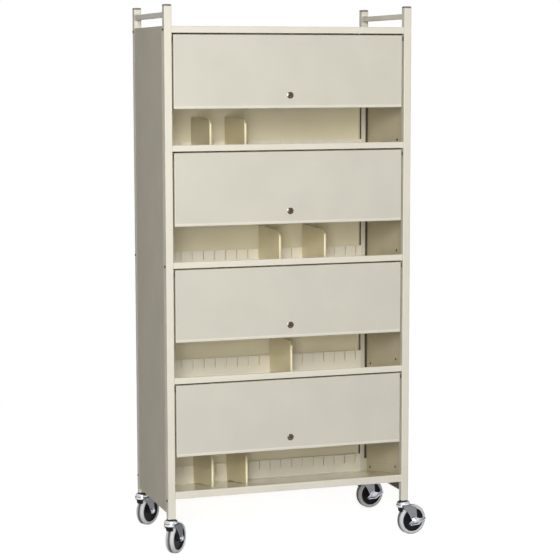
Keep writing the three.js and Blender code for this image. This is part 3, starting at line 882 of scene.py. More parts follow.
@dataclass(frozen=True)
class PostFrame:
    """Square posts with their caps, handle bars and bolts."""

    plan: RackPlan
    corner: float = 2.5 * MM
    edge: float = 0.4 * MM
    cap_chamfer: float = 0.8 * MM
    cap_crown: float = 2.2 * MM
    cap_steps: int = 5
    handle_corner: float = 2 * MM
    handle_ease: float = 1 * MM
    weld: float = 2.2 * MM
    weld_reach: float = 3.5 * MM
    weld_shares: tuple[float, ...] = (0, 0.2, 0.45, 0.7, 1)
    bolt: BoltHead = BoltHead(4.6 * MM, 2.6 * MM)
    bolt_drops: tuple[tuple[int, float], ...] = ((0, 11.6 * MM), (2, 14.6 * MM), (4, 29.6 * MM))

    def build(self) -> None:
        """Makes every piece of the post frame."""
        for place in PLACES:
            self.post(place)
            self.cap(place)
        for side in SIDES:
            self.handle(side)
        self.bolts()

    def post(self, place: str) -> None:
        """One hollow post with round corners.

        Args:
            place: the post's place.
        """
        node = f"post_{place}"
        low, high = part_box(node)
        half = (high.x - low.x) / 2
        hollow = half - self.plan.post_wall
        outer = rounded_rectangle(half, half, self.corner)
        inner = rounded_rectangle(hollow, hollow, self.corner - self.plan.post_wall)
        stations = ((outer, low.z), (outer, high.z), (inner, high.z), (inner, low.z))
        Shape().loft(Axis.Z, stations, closed=True).piece(
            f"post_tube_{place}", FRAME_PAINT, under(node), RACK, edge=self.edge, stands_for=[node])

    def cap(self, place: str) -> None:
        """One plastic post cap: a plug in the tube under a low crowned head.

        Args:
            place: the post's place.
        """
        node = f"post_cap_{place}"
        low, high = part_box(node)
        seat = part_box(f"post_{place}")[1].z + self.plan.fit
        half = (high.x - low.x) / 2
        plug = self.plan.plug
        chamfer = self.cap_chamfer
        brim = chamfer / 2
        levels = [(plug - chamfer, low.z), (plug, low.z + chamfer), (plug, seat), (half - brim, seat),
                  (half, seat + brim)]
        for angle in quarter_turn(self.cap_steps):
            levels.append((half - self.cap_crown * (1 - math.cos(angle)),
                           high.z - brim - self.cap_crown * (1 - math.sin(angle))))
        levels.append((half / 2, high.z))
        stations = [(rounded_rectangle(reach, reach, self.corner), along) for reach, along in levels]
        Shape().loft(Axis.Z, stations).piece(
            f"post_cap_moulding_{place}", CAP_PLASTIC, under(node), RACK, stands_for=[node])

    def handle(self, side: str) -> None:
        """One handle bar with a weld bead at each post.

        Args:
            side: the bar's side of the rack.
        """
        node = f"handle_bar_{side}"
        low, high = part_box(node)
        half = (high.z - low.z) / 2
        upright = half - self.handle_ease
        reach = (high.y - low.y) / 2 + self.plan.fit
        bead = [(share * self.weld_reach, self.weld * (1 - share) ** 2) for share in self.weld_shares]
        ends = [(-reach + along, grown) for along, grown in bead]
        ends += [(reach - along, grown) for along, grown in bead[::-1]]
        stations = [(rounded_rectangle(half + grown, upright + grown, self.handle_corner + grown), along)
                    for along, grown in ends]
        middle = Matrix.Translation((low + high) / 2)
        Shape().loft(Axis.Y, stations).piece(
            f"handle_tube_{side}", FRAME_PAINT, middle, RACK, stands_for=[node])

    def bolts(self) -> None:
        """Dark bolt heads on the outer faces of the posts, level with the top panel and two shelves."""
        plan = self.plan
        shape = Shape()
        for side in SIDES.values():
            for back in (plan.post / 2, plan.depth - plan.post / 2):
                for bay, drop in self.bolt_drops:
                    self.bolt.add(shape, (side * plan.half, back, plan.level(bay) - drop), side)
        shape.piece("post_bolts", BOLT_BLACK, plan.place, RACK)


@dataclass(frozen=True)
class SheetWork:
    """Top panel, side panels, back panel and the sloped shelves with their slit upstands."""

    plan: RackPlan
    edge: float = 0.35 * MM
    end_flange: float = 30 * MM
    deck_fold: float = 6 * MM
    upstand_height: float = 64 * MM
    upstand_gap: float = 30 * MM
    slit_depth: float = 33 * MM
    slit_pitch: float = 40 * MM
    slit_offset: float = 14 * MM
    slit_margin: float = 10 * MM
    slit_half: float = 1.05 * MM
    screw: BoltHead = BoltHead(4.2 * MM, 2.2 * MM)
    screw_places: tuple[Pair, ...] = ((112 * MM, 22 * MM), (352 * MM, 14 * MM))
    panel_flange: float = 10 * MM
    back_panel_gap: float = 12 * MM
    shade_sheet_thick: float = 0.7 * MM
    shade_strip_steps: int = 2
    shade_sheet_corner: float = 6 * MM

    def build(self) -> None:
        """Makes every sheet piece."""
        self.top_panel()
        for node, finish in (("side_panel_left", SIDE_SHADE_TONED_PAINT), ("side_panel_right", WALL_SHADED_PAINT),
                             ("back_panel", BACK_LIT_PAINT)):
            repaint(node, finish)
        for bay in range(1, self.plan.bays + 1):
            self.shelf(bay)
        self.screws()
        self.shade_strips()
        self.under_shelf_shades()

    @property
    def clear(self) -> float:
        """Half of the length of a sheet between the posts."""
        return self.plan.inside - self.plan.fit

    @property
    def upstand(self) -> float:
        """Distance of the upstand's front face behind the posts' front faces."""
        return self.plan.depth - self.upstand_gap

    @property
    def wing_end(self) -> float:
        """Half of the width over the shelf's end flanges."""
        return self.plan.half - self.plan.sheet - self.plan.fit

    def upstand_top(self, bay: int) -> float:
        """Height of a shelf's upstand."""
        return self.plan.deck(bay, self.upstand) + self.upstand_height

    def top_panel(self) -> None:
        """The flat top with its front and rear lips turned down."""
        plan = self.plan
        skirt = plan.top - plan.lip
        corners = [(plan.setback, skirt), (plan.setback, plan.top), (plan.depth, plan.top),
                   (plan.depth, skirt)]
        section = sheet_section(corners, plan.fold, plan.sheet)
        Shape().prism(section, Axis.X, -self.clear, self.clear).piece(
            "top_sheet", FRAME_PAINT, plan.place, RACK, edge=self.edge, stands_for=["top_panel"])

    def slits(self) -> list[float]:
        """Places of the slits along the upstand.

        Returns:
            Each slit's distance from the middle of the rack.
        """
        reach = self.clear - self.slit_margin
        first = math.ceil((-reach - self.slit_offset) / self.slit_pitch)
        last = math.floor((reach - self.slit_offset) / self.slit_pitch)
        return [self.slit_offset + number * self.slit_pitch for number in range(first, last + 1)]

    def shelf(self, bay: int) -> None:
        """One shelf: front lip, sloped deck, slit upstand and end flanges.

        Args:
            bay: the shelf's bay.
        """
        plan = self.plan
        level = plan.level(bay)
        lip = plan.bottom_lip if bay == plan.bays else plan.lip
        root = self.upstand_top(bay) - self.slit_depth
        corners = [(plan.setback, level - lip), (plan.setback, level),
                   (self.upstand, plan.deck(bay, self.upstand)), (self.upstand, root)]
        shape = Shape()
        self.comb(shape, sheet_section(corners, self.deck_fold, plan.sheet), self.upstand_top(bay))
        made = shape.piece(f"shelf_sheet_{bay}", SHELF_LIT_PAINT, plan.place, RACK, edge=self.edge,
                           stands_for=[f"shelf_{bay}"])
        self.paint_lip(made)
        wings = Shape()
        for side in SIDES.values():
            wings.absorb(self.wing(side), self.incline(bay))
        wings.piece(f"shelf_wings_{bay}", WALL_SHADED_PAINT, plan.place, RACK, edge=self.edge)

    def paint_lip(self, shelf: bpy.types.Object) -> None:
        """Gives the front lip of a shelf the paint of the frame.

        Args:
            shelf: the shelf's piece.
        """
        shelf.data.materials.append(FRAME_PAINT.material())
        for face in shelf.data.polygons:
            face.material_index = int(face.center.y < self.plan.setback + self.plan.sheet)

    def comb(self, shape: Shape, section: Sequence[Pair], top: float) -> None:
        """Draws a shelf section out along X and raises teeth between the slits.

        Args:
            shape: shape that takes the comb.
            section: closed section, whose middle edge is the root of the teeth.
            top: height of the teeth.
        """
        edges = [-self.clear]
        for slit in self.slits():
            edges += [slit - self.slit_half, slit + self.slit_half]
        edges.append(self.clear)
        rows = shape.rows([[Axis.X.point(a, b, along) for a, b in section] for along in edges])
        faces = shape.mesh.faces
        count = len(section)
        root = count // 2 - 1
        for index, (first, second) in enumerate(zip(rows, rows[1:])):
            for number in range(count):
                after = (number + 1) % count
                if number != root:
                    faces.new((first[number], first[after], second[after], second[number]))
            corners = (first[root], first[root + 1], second[root + 1], second[root])
            if index % 2:
                faces.new(corners)
                continue
            crest = [shape.mesh.verts.new((vert.co.x, vert.co.y, top)) for vert in corners]
            faces.new(crest)
            shape.wrap((corners, crest))
        faces.new(rows[0][::-1])
        faces.new(rows[-1])

    def wing(self, side: int) -> Shape:
        """The end of a shelf between the posts, with its flange turned up, above a flat deck at height 0.

        Args:
            side: 1 or -1, the end's side of the rack.

        Returns:
            The end's shape.
        """
        plan = self.plan
        start = plan.post + plan.fit + plan.sheet + plan.fold
        end = self.upstand - plan.fold - plan.sheet
        corners = [(self.clear, -plan.sheet), (self.wing_end, -plan.sheet),
                   (self.wing_end, self.end_flange)]
        section = sheet_section(corners, plan.fold, -plan.sheet)
        return Shape().prism([(side * a, b) for a, b in section], Axis.Y, start, end)

    def incline(self, bay: int) -> Matrix:
        """Lays a flat deck at height 0 on the slope of a shelf.

        Args:
            bay: the shelf's bay.

        Returns:
            The deck's place.
        """
        lean = Matrix.Identity(4)
        lean[2][1] = -math.tan(self.plan.slope)
        lean[2][3] = self.plan.deck(bay, 0)
        return lean

    def screws(self) -> None:
        """Screw heads that hold the end flanges of the shelves to the side panels."""
        shape = Shape()
        for bay in range(1, self.plan.bays + 1):
            for side in SIDES.values():
                for back, rise in self.screw_places:
                    across = side * (self.wing_end - self.plan.sheet)
                    self.screw.add(shape, (across, back, self.plan.deck(bay, back) + rise), -side)
        shape.piece("shelf_screws", BOLT_BLACK, self.plan.place, RACK)

    def shade_strips(self) -> None:
        """Dark strips in the rear corners, on the side panel's flange and on the posts' inner faces beside
        the back panel: painted shade where these corners lie in shade.
        """
        plan = self.plan
        thick = self.shade_sheet_thick / 2
        low = plan.level(plan.bays) - plan.bottom_lip
        high = plan.top - plan.lip
        wide = (self.panel_flange - plan.sheet - 2 * plan.fit) / 2
        deep = (plan.post - self.back_panel_gap - 2 * plan.fit) / 2
        flange = (self.wing_end - wide, plan.depth - plan.post - plan.fit - plan.sheet - thick)
        post = (plan.inside - thick, plan.depth - plan.post + plan.fit + deep)
        for name, side in SIDES.items():
            shape = Shape()
            for (across, back), half_a, half_b in ((flange, wide, thick), (post, thick, deep)):
                strip = rounded_rectangle(half_a, half_b, thick / 2, self.shade_strip_steps)
                shape.prism([(a + side * across, b + back) for a, b in strip], Axis.Z, low, high)
            shape.piece(f"corner_seal_{name}", PAINTED_SHADE_DARK, plan.place, RACK)

    def under_shelf_shades(self) -> None:
        """Dark sheets on the inside of the side panels under the bottom shelf: painted shade where the
        shelf shades the panels.
        """
        plan = self.plan
        panel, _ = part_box("side_panel_right")
        low = panel.z + plan.fold
        high = plan.level(plan.bays) - plan.bottom_lip / 2
        front = plan.post + plan.fit + plan.sheet
        back = plan.depth / 2
        flat = rounded_rectangle((back - front) / 2, (high - low) / 2, self.shade_sheet_corner)
        outline = [(a + (front + back) / 2, b + (low + high) / 2) for a, b in flat]
        for name, side in SIDES.items():
            near = side * self.wing_end
            ends = sorted((near, near - side * self.shade_sheet_thick))
            Shape().prism(outline, Axis.X, *ends).piece(f"panel_liner_{name}", PAINTED_SHADE_DARK, plan.place, RACK)


@dataclass(frozen=True)
class Dividers:
    """Lift-out dividers hooked into the slits of the upstands."""

    plan: RackPlan
    sheet_work: SheetWork
    sheet: float = 1.5 * MM
    edge: float = 0.4 * MM
    reach: float = 228 * MM
    rise: float = 76 * MM
    corner: float = 14 * MM
    corner_steps: int = 8
    hem: float = 6 * MM
    hook: float = 12 * MM
    hook_reach: float = 2.2 * MM
    gap: float = 0.4 * MM
    places: tuple[tuple[int, int], ...] = ((1, -6), (1, -3), (2, 0), (2, 4), (3, 1), (4, -6), (4, -3))

    def build(self) -> None:
        """Makes every divider."""
        for number, (bay, slit) in enumerate(self.places, 1):
            self.divider(number, bay, slit)

    def divider(self, number: int, bay: int, slit: int) -> None:
        """One divider plate with a round front corner, a hemmed front edge and a rear hook.

        Args:
            number: the divider's number.
            bay: its bay.
            slit: its slit, counted from the one beside the middle of the rack.
        """
        plan = self.plan
        work = self.sheet_work
        upstand_top = work.upstand_top(bay)
        back = work.upstand - self.gap
        front = back - self.reach
        foot = plan.deck(bay, front) + self.gap
        heel = plan.deck(bay, back) + self.gap + plan.fold
        top = plan.level(bay) + self.rise
        hook_root = upstand_top - work.slit_depth + plan.fit
        hook_tip = hook_root - self.hook
        behind = work.upstand + plan.sheet + self.gap
        hook_back = behind + self.hook_reach
        outline = [(front, foot), (back, heel), (back, hook_root), (behind, hook_root), (behind, hook_tip),
                   (hook_back, hook_tip), (hook_back, upstand_top), (back, upstand_top), (back, top)]
        for angle in quarter_turn(self.corner_steps):
            outline.append((front + self.corner * (1 - math.sin(angle)),
                            top - self.corner * (1 - math.cos(angle))))
        middle = work.slit_offset + slit * work.slit_pitch
        half = self.sheet / 2
        shape = Shape().prism(outline, Axis.X, middle - half, middle + half)
        hem = [(middle + half, front), (middle + self.hem, front), (middle + self.hem, front + self.sheet),
               (middle + half, front + self.sheet)]
        shape.prism(hem, Axis.Z, foot, top - self.corner)
        body = f"divider_{number}"
        shape.piece(f"divider_plate_{number}", DIVIDER_LIT_PAINT, plan.place, body, edge=self.edge,
                    stands_for=[body])


@dataclass(frozen=True)
class Doors:
    """Flip-up panels with their key locks, carriages and tracks."""

    plan: RackPlan
    height: float = 236 * MM
    depth: float = 14 * MM
    side_gap: float = 5.5 * MM
    top_gap: float = 5 * MM
    corner: float = 2.2 * MM
    least_corner: float = 0.3 * MM
    fold_steps: int = 6
    hem_height: float = 9 * MM
    hem_rise: float = 0.9 * MM
    hem_foot: float = 1 * MM
    hem_lean: float = 0.6
    hem_fullness: float = 0.8
    hem_steps: int = 8
    hem_edge: float = 0.2 * MM
    hole_radius: float = 9.3 * MM
    hole_steps: int = 32
    lock_rise: float = 42 * MM
    lock_flange: float = 2.5 * MM
    lock_radius: float = 11 * MM
    lock_body: float = 9 * MM
    lock_length: float = 17 * MM
    lock_dome: float = 31 * MM
    lock_edge: float = 0.15 * MM
    lock_steps: int = 40
    dome_steps: int = 8
    plug_radius: float = 5.2 * MM
    plug_depth: float = 1.2 * MM
    key_width: float = 1.8 * MM
    key_height: float = 8 * MM
    key_depth: float = 6 * MM
    key_corner: float = key_width / 2.2
    key_steps: int = 3
    cam_width: float = 13 * MM
    cam_reach: float = 30 * MM
    cam_sheet: float = 2 * MM
    cam_corner: float = 2 * MM
    cam_edge: float = 0.25 * MM
    cam_steps: int = 8
    nut_radius: float = 11.5 * MM
    nut_height: float = 3.5 * MM
    pivot_back: float = 11 * MM
    pivot_drop: float = 12 * MM
    rod_radius: float = 4 * MM
    rod_steps: int = 20
    track_slope: float = math.radians(8)
    arm_gap: float = 0.6 * MM
    arm_sheet: float = 2.6 * MM
    arm_height: float = 15 * MM
    arm_edge: float = 0.4 * MM
    arm_steps: int = 10
    shoe_start: float = 32 * MM
    shoe_length: float = 70 * MM
    shoe_height: float = 12 * MM
    shoe_reach: float = 416.2 * MM

    def build(self) -> None:
        """Makes every panel, lock and carriage, and finishes the tracks."""
        for bay in range(1, self.plan.bays + 1):
            self.door(bay)
            self.lock(bay)
            self.carriage(bay)
            repaint(f"door_track_{bay}", ZINC)

    @property
    def half_width(self) -> float:
        """Half of a panel's width."""
        return self.plan.inside - self.side_gap

    def bottom(self, bay: int) -> float:
        """Height of a panel's lower edge."""
        return self.plan.level(bay - 1) - self.plan.lip - self.top_gap - self.height

    def lock_height(self, bay: int) -> float:
        """Height of the middle of a panel's lock."""
        return self.bottom(bay) + self.lock_rise

    def ring(self, bay: int, inset: float, back: float) -> list[Vector]:
        """An upright ring round a panel.

        Args:
            bay: the panel's bay.
            inset: distance in from the panel's outline.
            back: distance behind the posts' front faces.

        Returns:
            The ring's points.
        """
        middle = self.bottom(bay) + self.height / 2
        radius = max(self.corner - inset, self.least_corner)
        outline = rounded_rectangle(self.half_width - inset, self.height / 2 - inset, radius)
        return [Axis.Y.point(a, b + middle, back) for a, b in outline]

    def fold(self, radius: float) -> list[Pair]:
        """Round fold from a side of the panel into its face.

        Args:
            radius: radius of the fold.

        Returns:
            Pairs of inset and distance behind the face.
        """
        centre = self.plan.fold
        return [(centre - radius * math.cos(angle), centre - radius * math.sin(angle))
                for angle in quarter_turn(self.fold_steps)]

    def door(self, bay: int) -> None:
        """One panel: a sheet pan with round folds on all four sides and a hole for its lock.

        Args:
            bay: the panel's bay.
        """
        plan = self.plan
        face = plan.setback
        outer = [(0.0, self.depth)] + self.fold(plan.fold)
        inner = [(plan.sheet, self.depth)] + self.fold(plan.fold - plan.sheet)
        shape = Shape()
        front_rows = shape.rows([self.ring(bay, inset, face + behind) for inset, behind in outer])
        rear_rows = shape.rows([self.ring(bay, inset, face + behind) for inset, behind in inner])
        shape.wrap(front_rows[::-1] + rear_rows)
        hole = [(a, self.lock_height(bay) + b) for a, b in round_outline(self.hole_radius, self.hole_steps)]
        hole_rows = shape.rows([[Axis.Y.point(a, b, along) for a, b in hole]
                                for along in (face, face + plan.sheet)])
        shape.wrap(hole_rows)
        for row, hole_row in ((front_rows[-1], hole_rows[0]), (rear_rows[-1], hole_rows[1])):
            edges = self.edges_round(shape, row) + self.edges_round(shape, hole_row)
            bmesh.ops.triangle_fill(shape.mesh, use_beauty=True, use_dissolve=False, edges=edges)
        shape.piece(f"door_pan_{bay}", DOOR_SHADED_PAINT, plan.place, f"door_{bay}", stands_for=[f"door_{bay}"])
        self.hem(bay)

    @staticmethod
    def edges_round(shape: Shape, row: Sequence[bmesh.types.BMVert]) -> list[bmesh.types.BMEdge]:
        """The edges of a closed row of points.

        Args:
            shape: shape that holds the row.
            row: the points.

        Returns:
            The edges, found or made.
        """
        edges = shape.mesh.edges
        pairs = zip(row, [*row[1:], row[0]])
        return [edges.get(pair) or edges.new(pair) for pair in pairs]

    def hem(self, bay: int) -> None:
        """The low round bead along a panel's lower edge, in a lighter copy of the door paint as a painted
        highlight.

        Args:
            bay: the panel's bay.
        """
        half = self.half_width - self.plan.fold
        low = self.bottom(bay) + self.hem_foot
        face = self.plan.setback
        root = face + self.plan.sheet / 2
        section = [(root, low), (root, low + self.hem_height)]
        for step in range(self.hem_steps + 1):
            share = step / self.hem_steps
            swell = math.sin(math.pi * share ** self.hem_lean) ** self.hem_fullness
            section.append((face - self.hem_rise * swell, low + self.hem_height * (1 - share)))
        Shape().prism(section, Axis.X, -half, half).piece(
            f"door_hem_{bay}", HEM_HIGHLIGHT_PAINT, self.plan.place, f"door_{bay}", edge=self.hem_edge)

    def carriage(self, bay: int) -> None:
        """One carriage: a pivot rod behind the panel, with an arm and a slide shoe at each end.

        Args:
            bay: the panel's bay.
        """
        pivot = self.bottom(bay) + self.height - self.pivot_drop
        place = self.plan.place @ Matrix.Translation((0, self.pivot_back, pivot))
        place = place @ Matrix.Rotation(-self.track_slope, 4, "X")
        inside = self.half_width - self.plan.sheet - self.plan.fit
        near = self.half_width + self.arm_gap
        far = near + self.arm_sheet
        half = self.arm_height / 2
        end = self.shoe_start + self.shoe_length
        angles = [math.pi * (0.5 + step / self.arm_steps) for step in range(self.arm_steps + 1)]
        arm = [(half * math.cos(angle), half * math.sin(angle)) for angle in angles]
        arm += [(end, -half), (end, half)]
        shoe = [(a + (self.shoe_start + end) / 2, b)
                for a, b in rounded_rectangle(self.shoe_length / 2, self.shoe_height / 2, self.rod_radius)]
        shape = Shape().lathe(self.rod(-inside, inside), Axis.X, steps=self.rod_steps)
        for side in SIDES.values():
            stub = sorted((side * (self.half_width + self.plan.fit), side * near))
            shape.lathe(self.rod(*stub), Axis.X, steps=self.rod_steps)
            shape.prism(arm, Axis.X, *sorted((side * near, side * far)))
            shape.prism(shoe, Axis.X, *sorted((side * far, side * self.shoe_reach)))
        shape.piece(f"door_carriage_arms_{bay}", SLIDE_DARK, place, f"carriage_{bay}", edge=self.arm_edge,
                    stands_for=[f"door_carriage_{bay}"])

    def rod(self, start: float, end: float) -> list[Pair]:
        """Profile of a length of the pivot rod."""
        return [(0.0, start), (self.rod_radius, start), (self.rod_radius, end), (0.0, end)]

    def lock(self, bay: int) -> None:
        """One key lock: a flanged barrel with its plug and keyway, and the nut and cam behind it.

        Args:
            bay: the panel's bay.
        """
        plan = self.plan
        height = self.lock_height(bay)
        seat = plan.setback - plan.fit
        face = seat - self.lock_flange
        back = plan.setback + self.lock_length
        profile = [(0.0, face + self.plug_depth), (self.plug_radius, face + self.plug_depth)]
        for step in range(self.dome_steps + 1):
            radius = self.plug_radius + step / self.dome_steps * (self.lock_radius - self.plug_radius)
            profile.append((radius, face + self.lock_dome - math.sqrt(self.lock_dome ** 2 - radius ** 2)))
        profile += [(self.lock_radius, seat), (self.lock_body, seat), (self.lock_body, back), (0.0, back)]
        shape = Shape().lathe(profile, Axis.Y, (0, 0, height), steps=self.lock_steps)
        made = shape.bare(f"lock_barrel_{bay}", plan.place)
        slot = rounded_rectangle(self.key_width / 2, self.key_height / 2, self.key_corner, self.key_steps)
        keyway = [(a, b + height) for a, b in slot]
        carve(made, Shape().prism(keyway, Axis.Y, face - self.key_depth, face + self.key_depth))
        dress(made, LOCK_NICKEL, f"lock_{bay}", edge=self.lock_edge, stands_for=[f"lock_{bay}"])
        self.cam(bay, back)

    def cam(self, bay: int, back: float) -> None:
        """The clamping nut behind a panel and the cam at the end of its lock.

        Args:
            bay: the panel's bay.
            back: distance of the cam's rear face behind the posts' front faces.
        """
        plan = self.plan
        height = self.lock_height(bay)
        front = plan.setback + plan.sheet + plan.fit
        rear = front + self.nut_height
        nut = [(self.lock_body, front), (self.nut_radius, front), (self.nut_radius, rear),
               (self.lock_body, rear)]
        shape = Shape().lathe(nut, Axis.Y, (0, 0, height), steps=NUT_SIDES, closed=True)
        half = self.cam_width / 2
        tip = height - self.cam_reach
        angles = [step / self.cam_steps * math.pi for step in range(self.cam_steps + 1)]
        outline = [(half * math.cos(angle), height + half * math.sin(angle)) for angle in angles]
        outline += [(-half, tip + self.cam_corner), (self.cam_corner - half, tip),
                    (half - self.cam_corner, tip), (half, tip + self.cam_corner)]
        shape.prism(outline, Axis.Y, back - self.cam_sheet, back)
        shape.piece(f"lock_cam_{bay}", ZINC, plan.place, f"lock_{bay}", edge=self.cam_edge)


@dataclass(frozen=True)
class Casters:
    """Swivel casters; each is built with X along its trail, Y along its axle and Z up from the floor."""

    plan: RackPlan
    edge: float = 0.5 * MM
    wheel_radius: float = 51 * MM
    tread_width: float = 30 * MM
    tread_crown: float = 9 * MM
    tread_steps: int = 9
    bead_rise: float = 0.8 * MM
    bead_swell: float = 1.2 * MM
    wall_rise: float = 1.8 * MM
    wall_ease: float = 0.4 * MM
    tyre_steps: int = 80
    hub_radius: float = 39.2 * MM
    hub_width: float = 25 * MM
    hub_boss: float = 11 * MM
    hub_steps: int = 64
    boss_ease: float = 1 * MM
    web_depth: float = 5 * MM
    # Pairs of reach and height: past the boss and above the web, inside the rim and above the web,
    # inside the rim and below the hub's face.
    boss_root: tuple[Pair, ...] = ((0.6 * MM, 1.5 * MM), (2.2 * MM, 0.0))
    rim_root: tuple[Pair, ...] = ((8.2 * MM, 0.0), (6.4 * MM, 1.2 * MM))
    rim_brow: tuple[Pair, ...] = ((4.4 * MM, 1.0 * MM), (3.2 * MM, 0.0), (0.0, 0.0))
    axle_radius: float = 4.8 * MM
    axle_tip: float = 1 * MM
    axle_ease: float = 0.8 * MM
    axle_edge: float = 0.25 * MM
    axle_steps: int = 24
    washer_sheet: float = 1.2 * MM
    washer_rim: float = 1.6 * MM
    washer_steps: int = 28
    nut_radius: float = 8.2 * MM
    nut_height: float = 5 * MM
    nut_chamfer: Pair = (1.0 * MM, 0.8 * MM)
    trail: float = 32 * MM
    leg_sheet: float = 3 * MM
    leg_gap: float = 3.4 * MM
    leg_shares: tuple[float, ...] = (0.0, 0.15, 0.3, 0.45, 0.6, 0.72, 0.82, 0.9, 1.0)
    crown_bottom: float = 104 * MM
    crown_front: float = 24 * MM
    crown_reach: float = 14 * MM
    crown_shares: tuple[float, ...] = (0.75, 0.5, 0.25)
    shoulder: float = 7 * MM
    skirt_drop: float = 9 * MM
    foot_radius: float = 11 * MM
    foot_least: float = 0.8 * MM
    foot_steps: int = 8
    knee_drop: float = 11 * MM
    knee_reach: float = 8 * MM
    bend: float = 6 * MM
    bend_steps: int = 6
    apron_drop: float = 5 * MM
    apron_tuck: float = 0.2 * MM
    apron_sheet: float = 2.4 * MM
    apron_steps: int = 14
    guard_drop: float = 21 * MM
    guard_taper: float = 7 * MM
    swivel_radius: float = 22 * MM
    swivel_top_radius: float = 15 * MM
    swivel_height: float = 11 * MM
    race_sink: float = 0.5 * MM
    race_ease: float = 0.8 * MM
    race_lip: float = 1.0 * MM
    race_foot: float = 0.14
    race_rise: float = 0.80
    race_fullness: float = 0.8
    race_steps: int = 8
    race_flats: int = 56
    kingpin_radius: float = 5 * MM
    kingpin_length: float = 8 * MM
    collar_radius: float = 14 * MM
    collar_height: float = 3 * MM
    collar_ease: float = 0.8 * MM
    stem_length: float = 45 * MM
    stem_corner: float = 1.2 * MM
    stem_steps: int = 3
    lever_sheet: float = 2.5 * MM
    lever_pedal: float = 9 * MM
    lever_eye: float = 11.5 * MM
    lever_drop: float = 13.5 * MM
    lever_short_arm: float = 23 * MM
    lever_long_arm: float = 42 * MM
    lever_rise: float = 4 * MM
    lever_tip: float = 4.5 * MM
    lever_fold: float = 5 * MM
    lever_steps: int = 5
    # Start and sweep of the lever's eye in half turns.
    eye_turn: Pair = (0.25, 0.75)
    eye_steps: int = 9
    bore_steps: int = 24

    def build(self) -> None:
        """Makes every caster."""
        for place in PLACES:
            braked = f"brake_lever_{place}" in frame["nodes"]
            swivel = self.swivel_place(place)
            self.stem(place)
            self.fork(place, swivel, braked)
            self.wheel(place, swivel)
            if braked:
                self.lever(place, swivel)

    @property
    def leg_inner(self) -> float:
        """Distance of a fork leg's inner face from the middle of the wheel."""
        return self.tread_width / 2 + self.leg_gap

    @property
    def leg_outer(self) -> float:
        """Distance of a fork leg's outer face from the middle of the wheel."""
        return self.leg_inner + self.leg_sheet

    @property
    def crown_top(self) -> float:
        """Height of the fork crown's upper face."""
        return self.crown_bottom + self.leg_sheet

    @property
    def skirt(self) -> float:
        """Height at which the fork's legs start to narrow."""
        return self.crown_bottom - self.skirt_drop

    @property
    def swivel_top(self) -> float:
        """Height of the swivel head's upper face."""
        return self.crown_top + self.swivel_height

    @property
    def bore(self) -> float:
        """Radius of a hole for the axle."""
        return self.axle_radius + self.plan.fit

    def swivel_place(self, place: str) -> Matrix:
        """Frame of a caster at rest, from its swivel and axle joints.

        Args:
            place: the caster's place.

        Returns:
            The frame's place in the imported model.
        """
        joints = {joint["name"]: joint for joint in frame["joints"]}
        pivot = joints[f"swivel_{place}"]["pos_m"]
        axle = joints[f"wheel_{place}"]["axis"]
        turn = math.atan2(-axle[0], axle[1])
        return Matrix.Translation((pivot[0], pivot[1], 0)) @ Matrix.Rotation(turn, 4, "Z")

    def wheel_place(self, swivel: Matrix) -> Matrix:
        """Frame at the middle of a caster's wheel."""
        return swivel @ Matrix.Translation((self.trail, 0, self.wheel_radius))

    def stem(self, place: str) -> None:
        """The square insert in the post, with its collar and kingpin.

        Args:
            place: the caster's place.
        """
        plan = self.plan
        post = f"post_{place}"
        low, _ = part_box(post)
        bottom = self.swivel_top + plan.fit
        top = bottom + self.collar_height
        pin_end = self.swivel_top - self.kingpin_length
        ease = self.collar_ease
        profile = [(0.0, pin_end), (self.kingpin_radius, pin_end), (self.kingpin_radius, bottom),
                   (self.collar_radius - ease, bottom), (self.collar_radius, bottom + ease),
                   (self.collar_radius, top - ease), (self.collar_radius - ease, top), (0.0, top)]
        shape = Shape().lathe(profile, Axis.Z)
        section = rounded_rectangle(plan.plug, plan.plug, self.stem_corner, self.stem_steps)
        shape.prism(section, Axis.Z, top, low.z + self.stem_length)
        shape.piece(f"caster_stem_plug_{place}", COLLAR_PLASTIC, under(post), RACK,
                    stands_for=[f"caster_stem_{place}"])

    def leg_front(self, across: float, height: float) -> float:
        """Front edge of the fork along the trail, round about the swivel in plan.

        Args:
            across: distance from the middle of the wheel.
            height: height above the floor.

        Returns:
            The place of the edge.
        """
        brow = -math.sqrt(self.crown_front ** 2 - across ** 2)
        if height >= self.skirt:
            return brow
        knee = self.skirt - self.knee_drop
        curve = self.skirt - 2 * knee + self.wheel_radius
        fall = 2 * (knee - self.skirt)
        rest = self.skirt - max(height, self.wheel_radius)
        share = (-fall - math.sqrt(fall * fall - 4 * curve * rest)) / (2 * curve)
        foot = self.trail - self.foot_radius
        return brow * (1 - share) ** 2 + 2 * self.knee_reach * share * (1 - share) + foot * share ** 2

    def leg_rear(self, height: float) -> float:
        """Rear edge of a fork leg along the trail.

        Args:
            height: height above the floor.

        Returns:
            The place of the edge.
        """
        knee = self.trail + self.shoulder
        if height >= self.skirt:
            share = min((height - self.skirt) / (self.crown_top - self.skirt), 1.0)
            return knee + (self.crown_reach - knee) * share
        share = (max(height, self.wheel_radius) - self.wheel_radius) / (self.skirt - self.wheel_radius)
        return self.trail + self.foot_radius + (self.shoulder - self.foot_radius) * share

    def leg_span(self, across: float, height: float) -> Pair:
        """Front and rear edge of the fork, round at the foot.

        Args:
            across: distance from the middle of the wheel.
            height: height above the floor.

        Returns:
            Both edges along the trail.
        """
        if height >= self.wheel_radius:
            return self.leg_front(across, height), self.leg_rear(height)
        below = self.wheel_radius - height
        reach = math.sqrt(max(self.foot_radius ** 2 - below ** 2, self.foot_least ** 2))
        return self.trail - reach, self.trail + reach

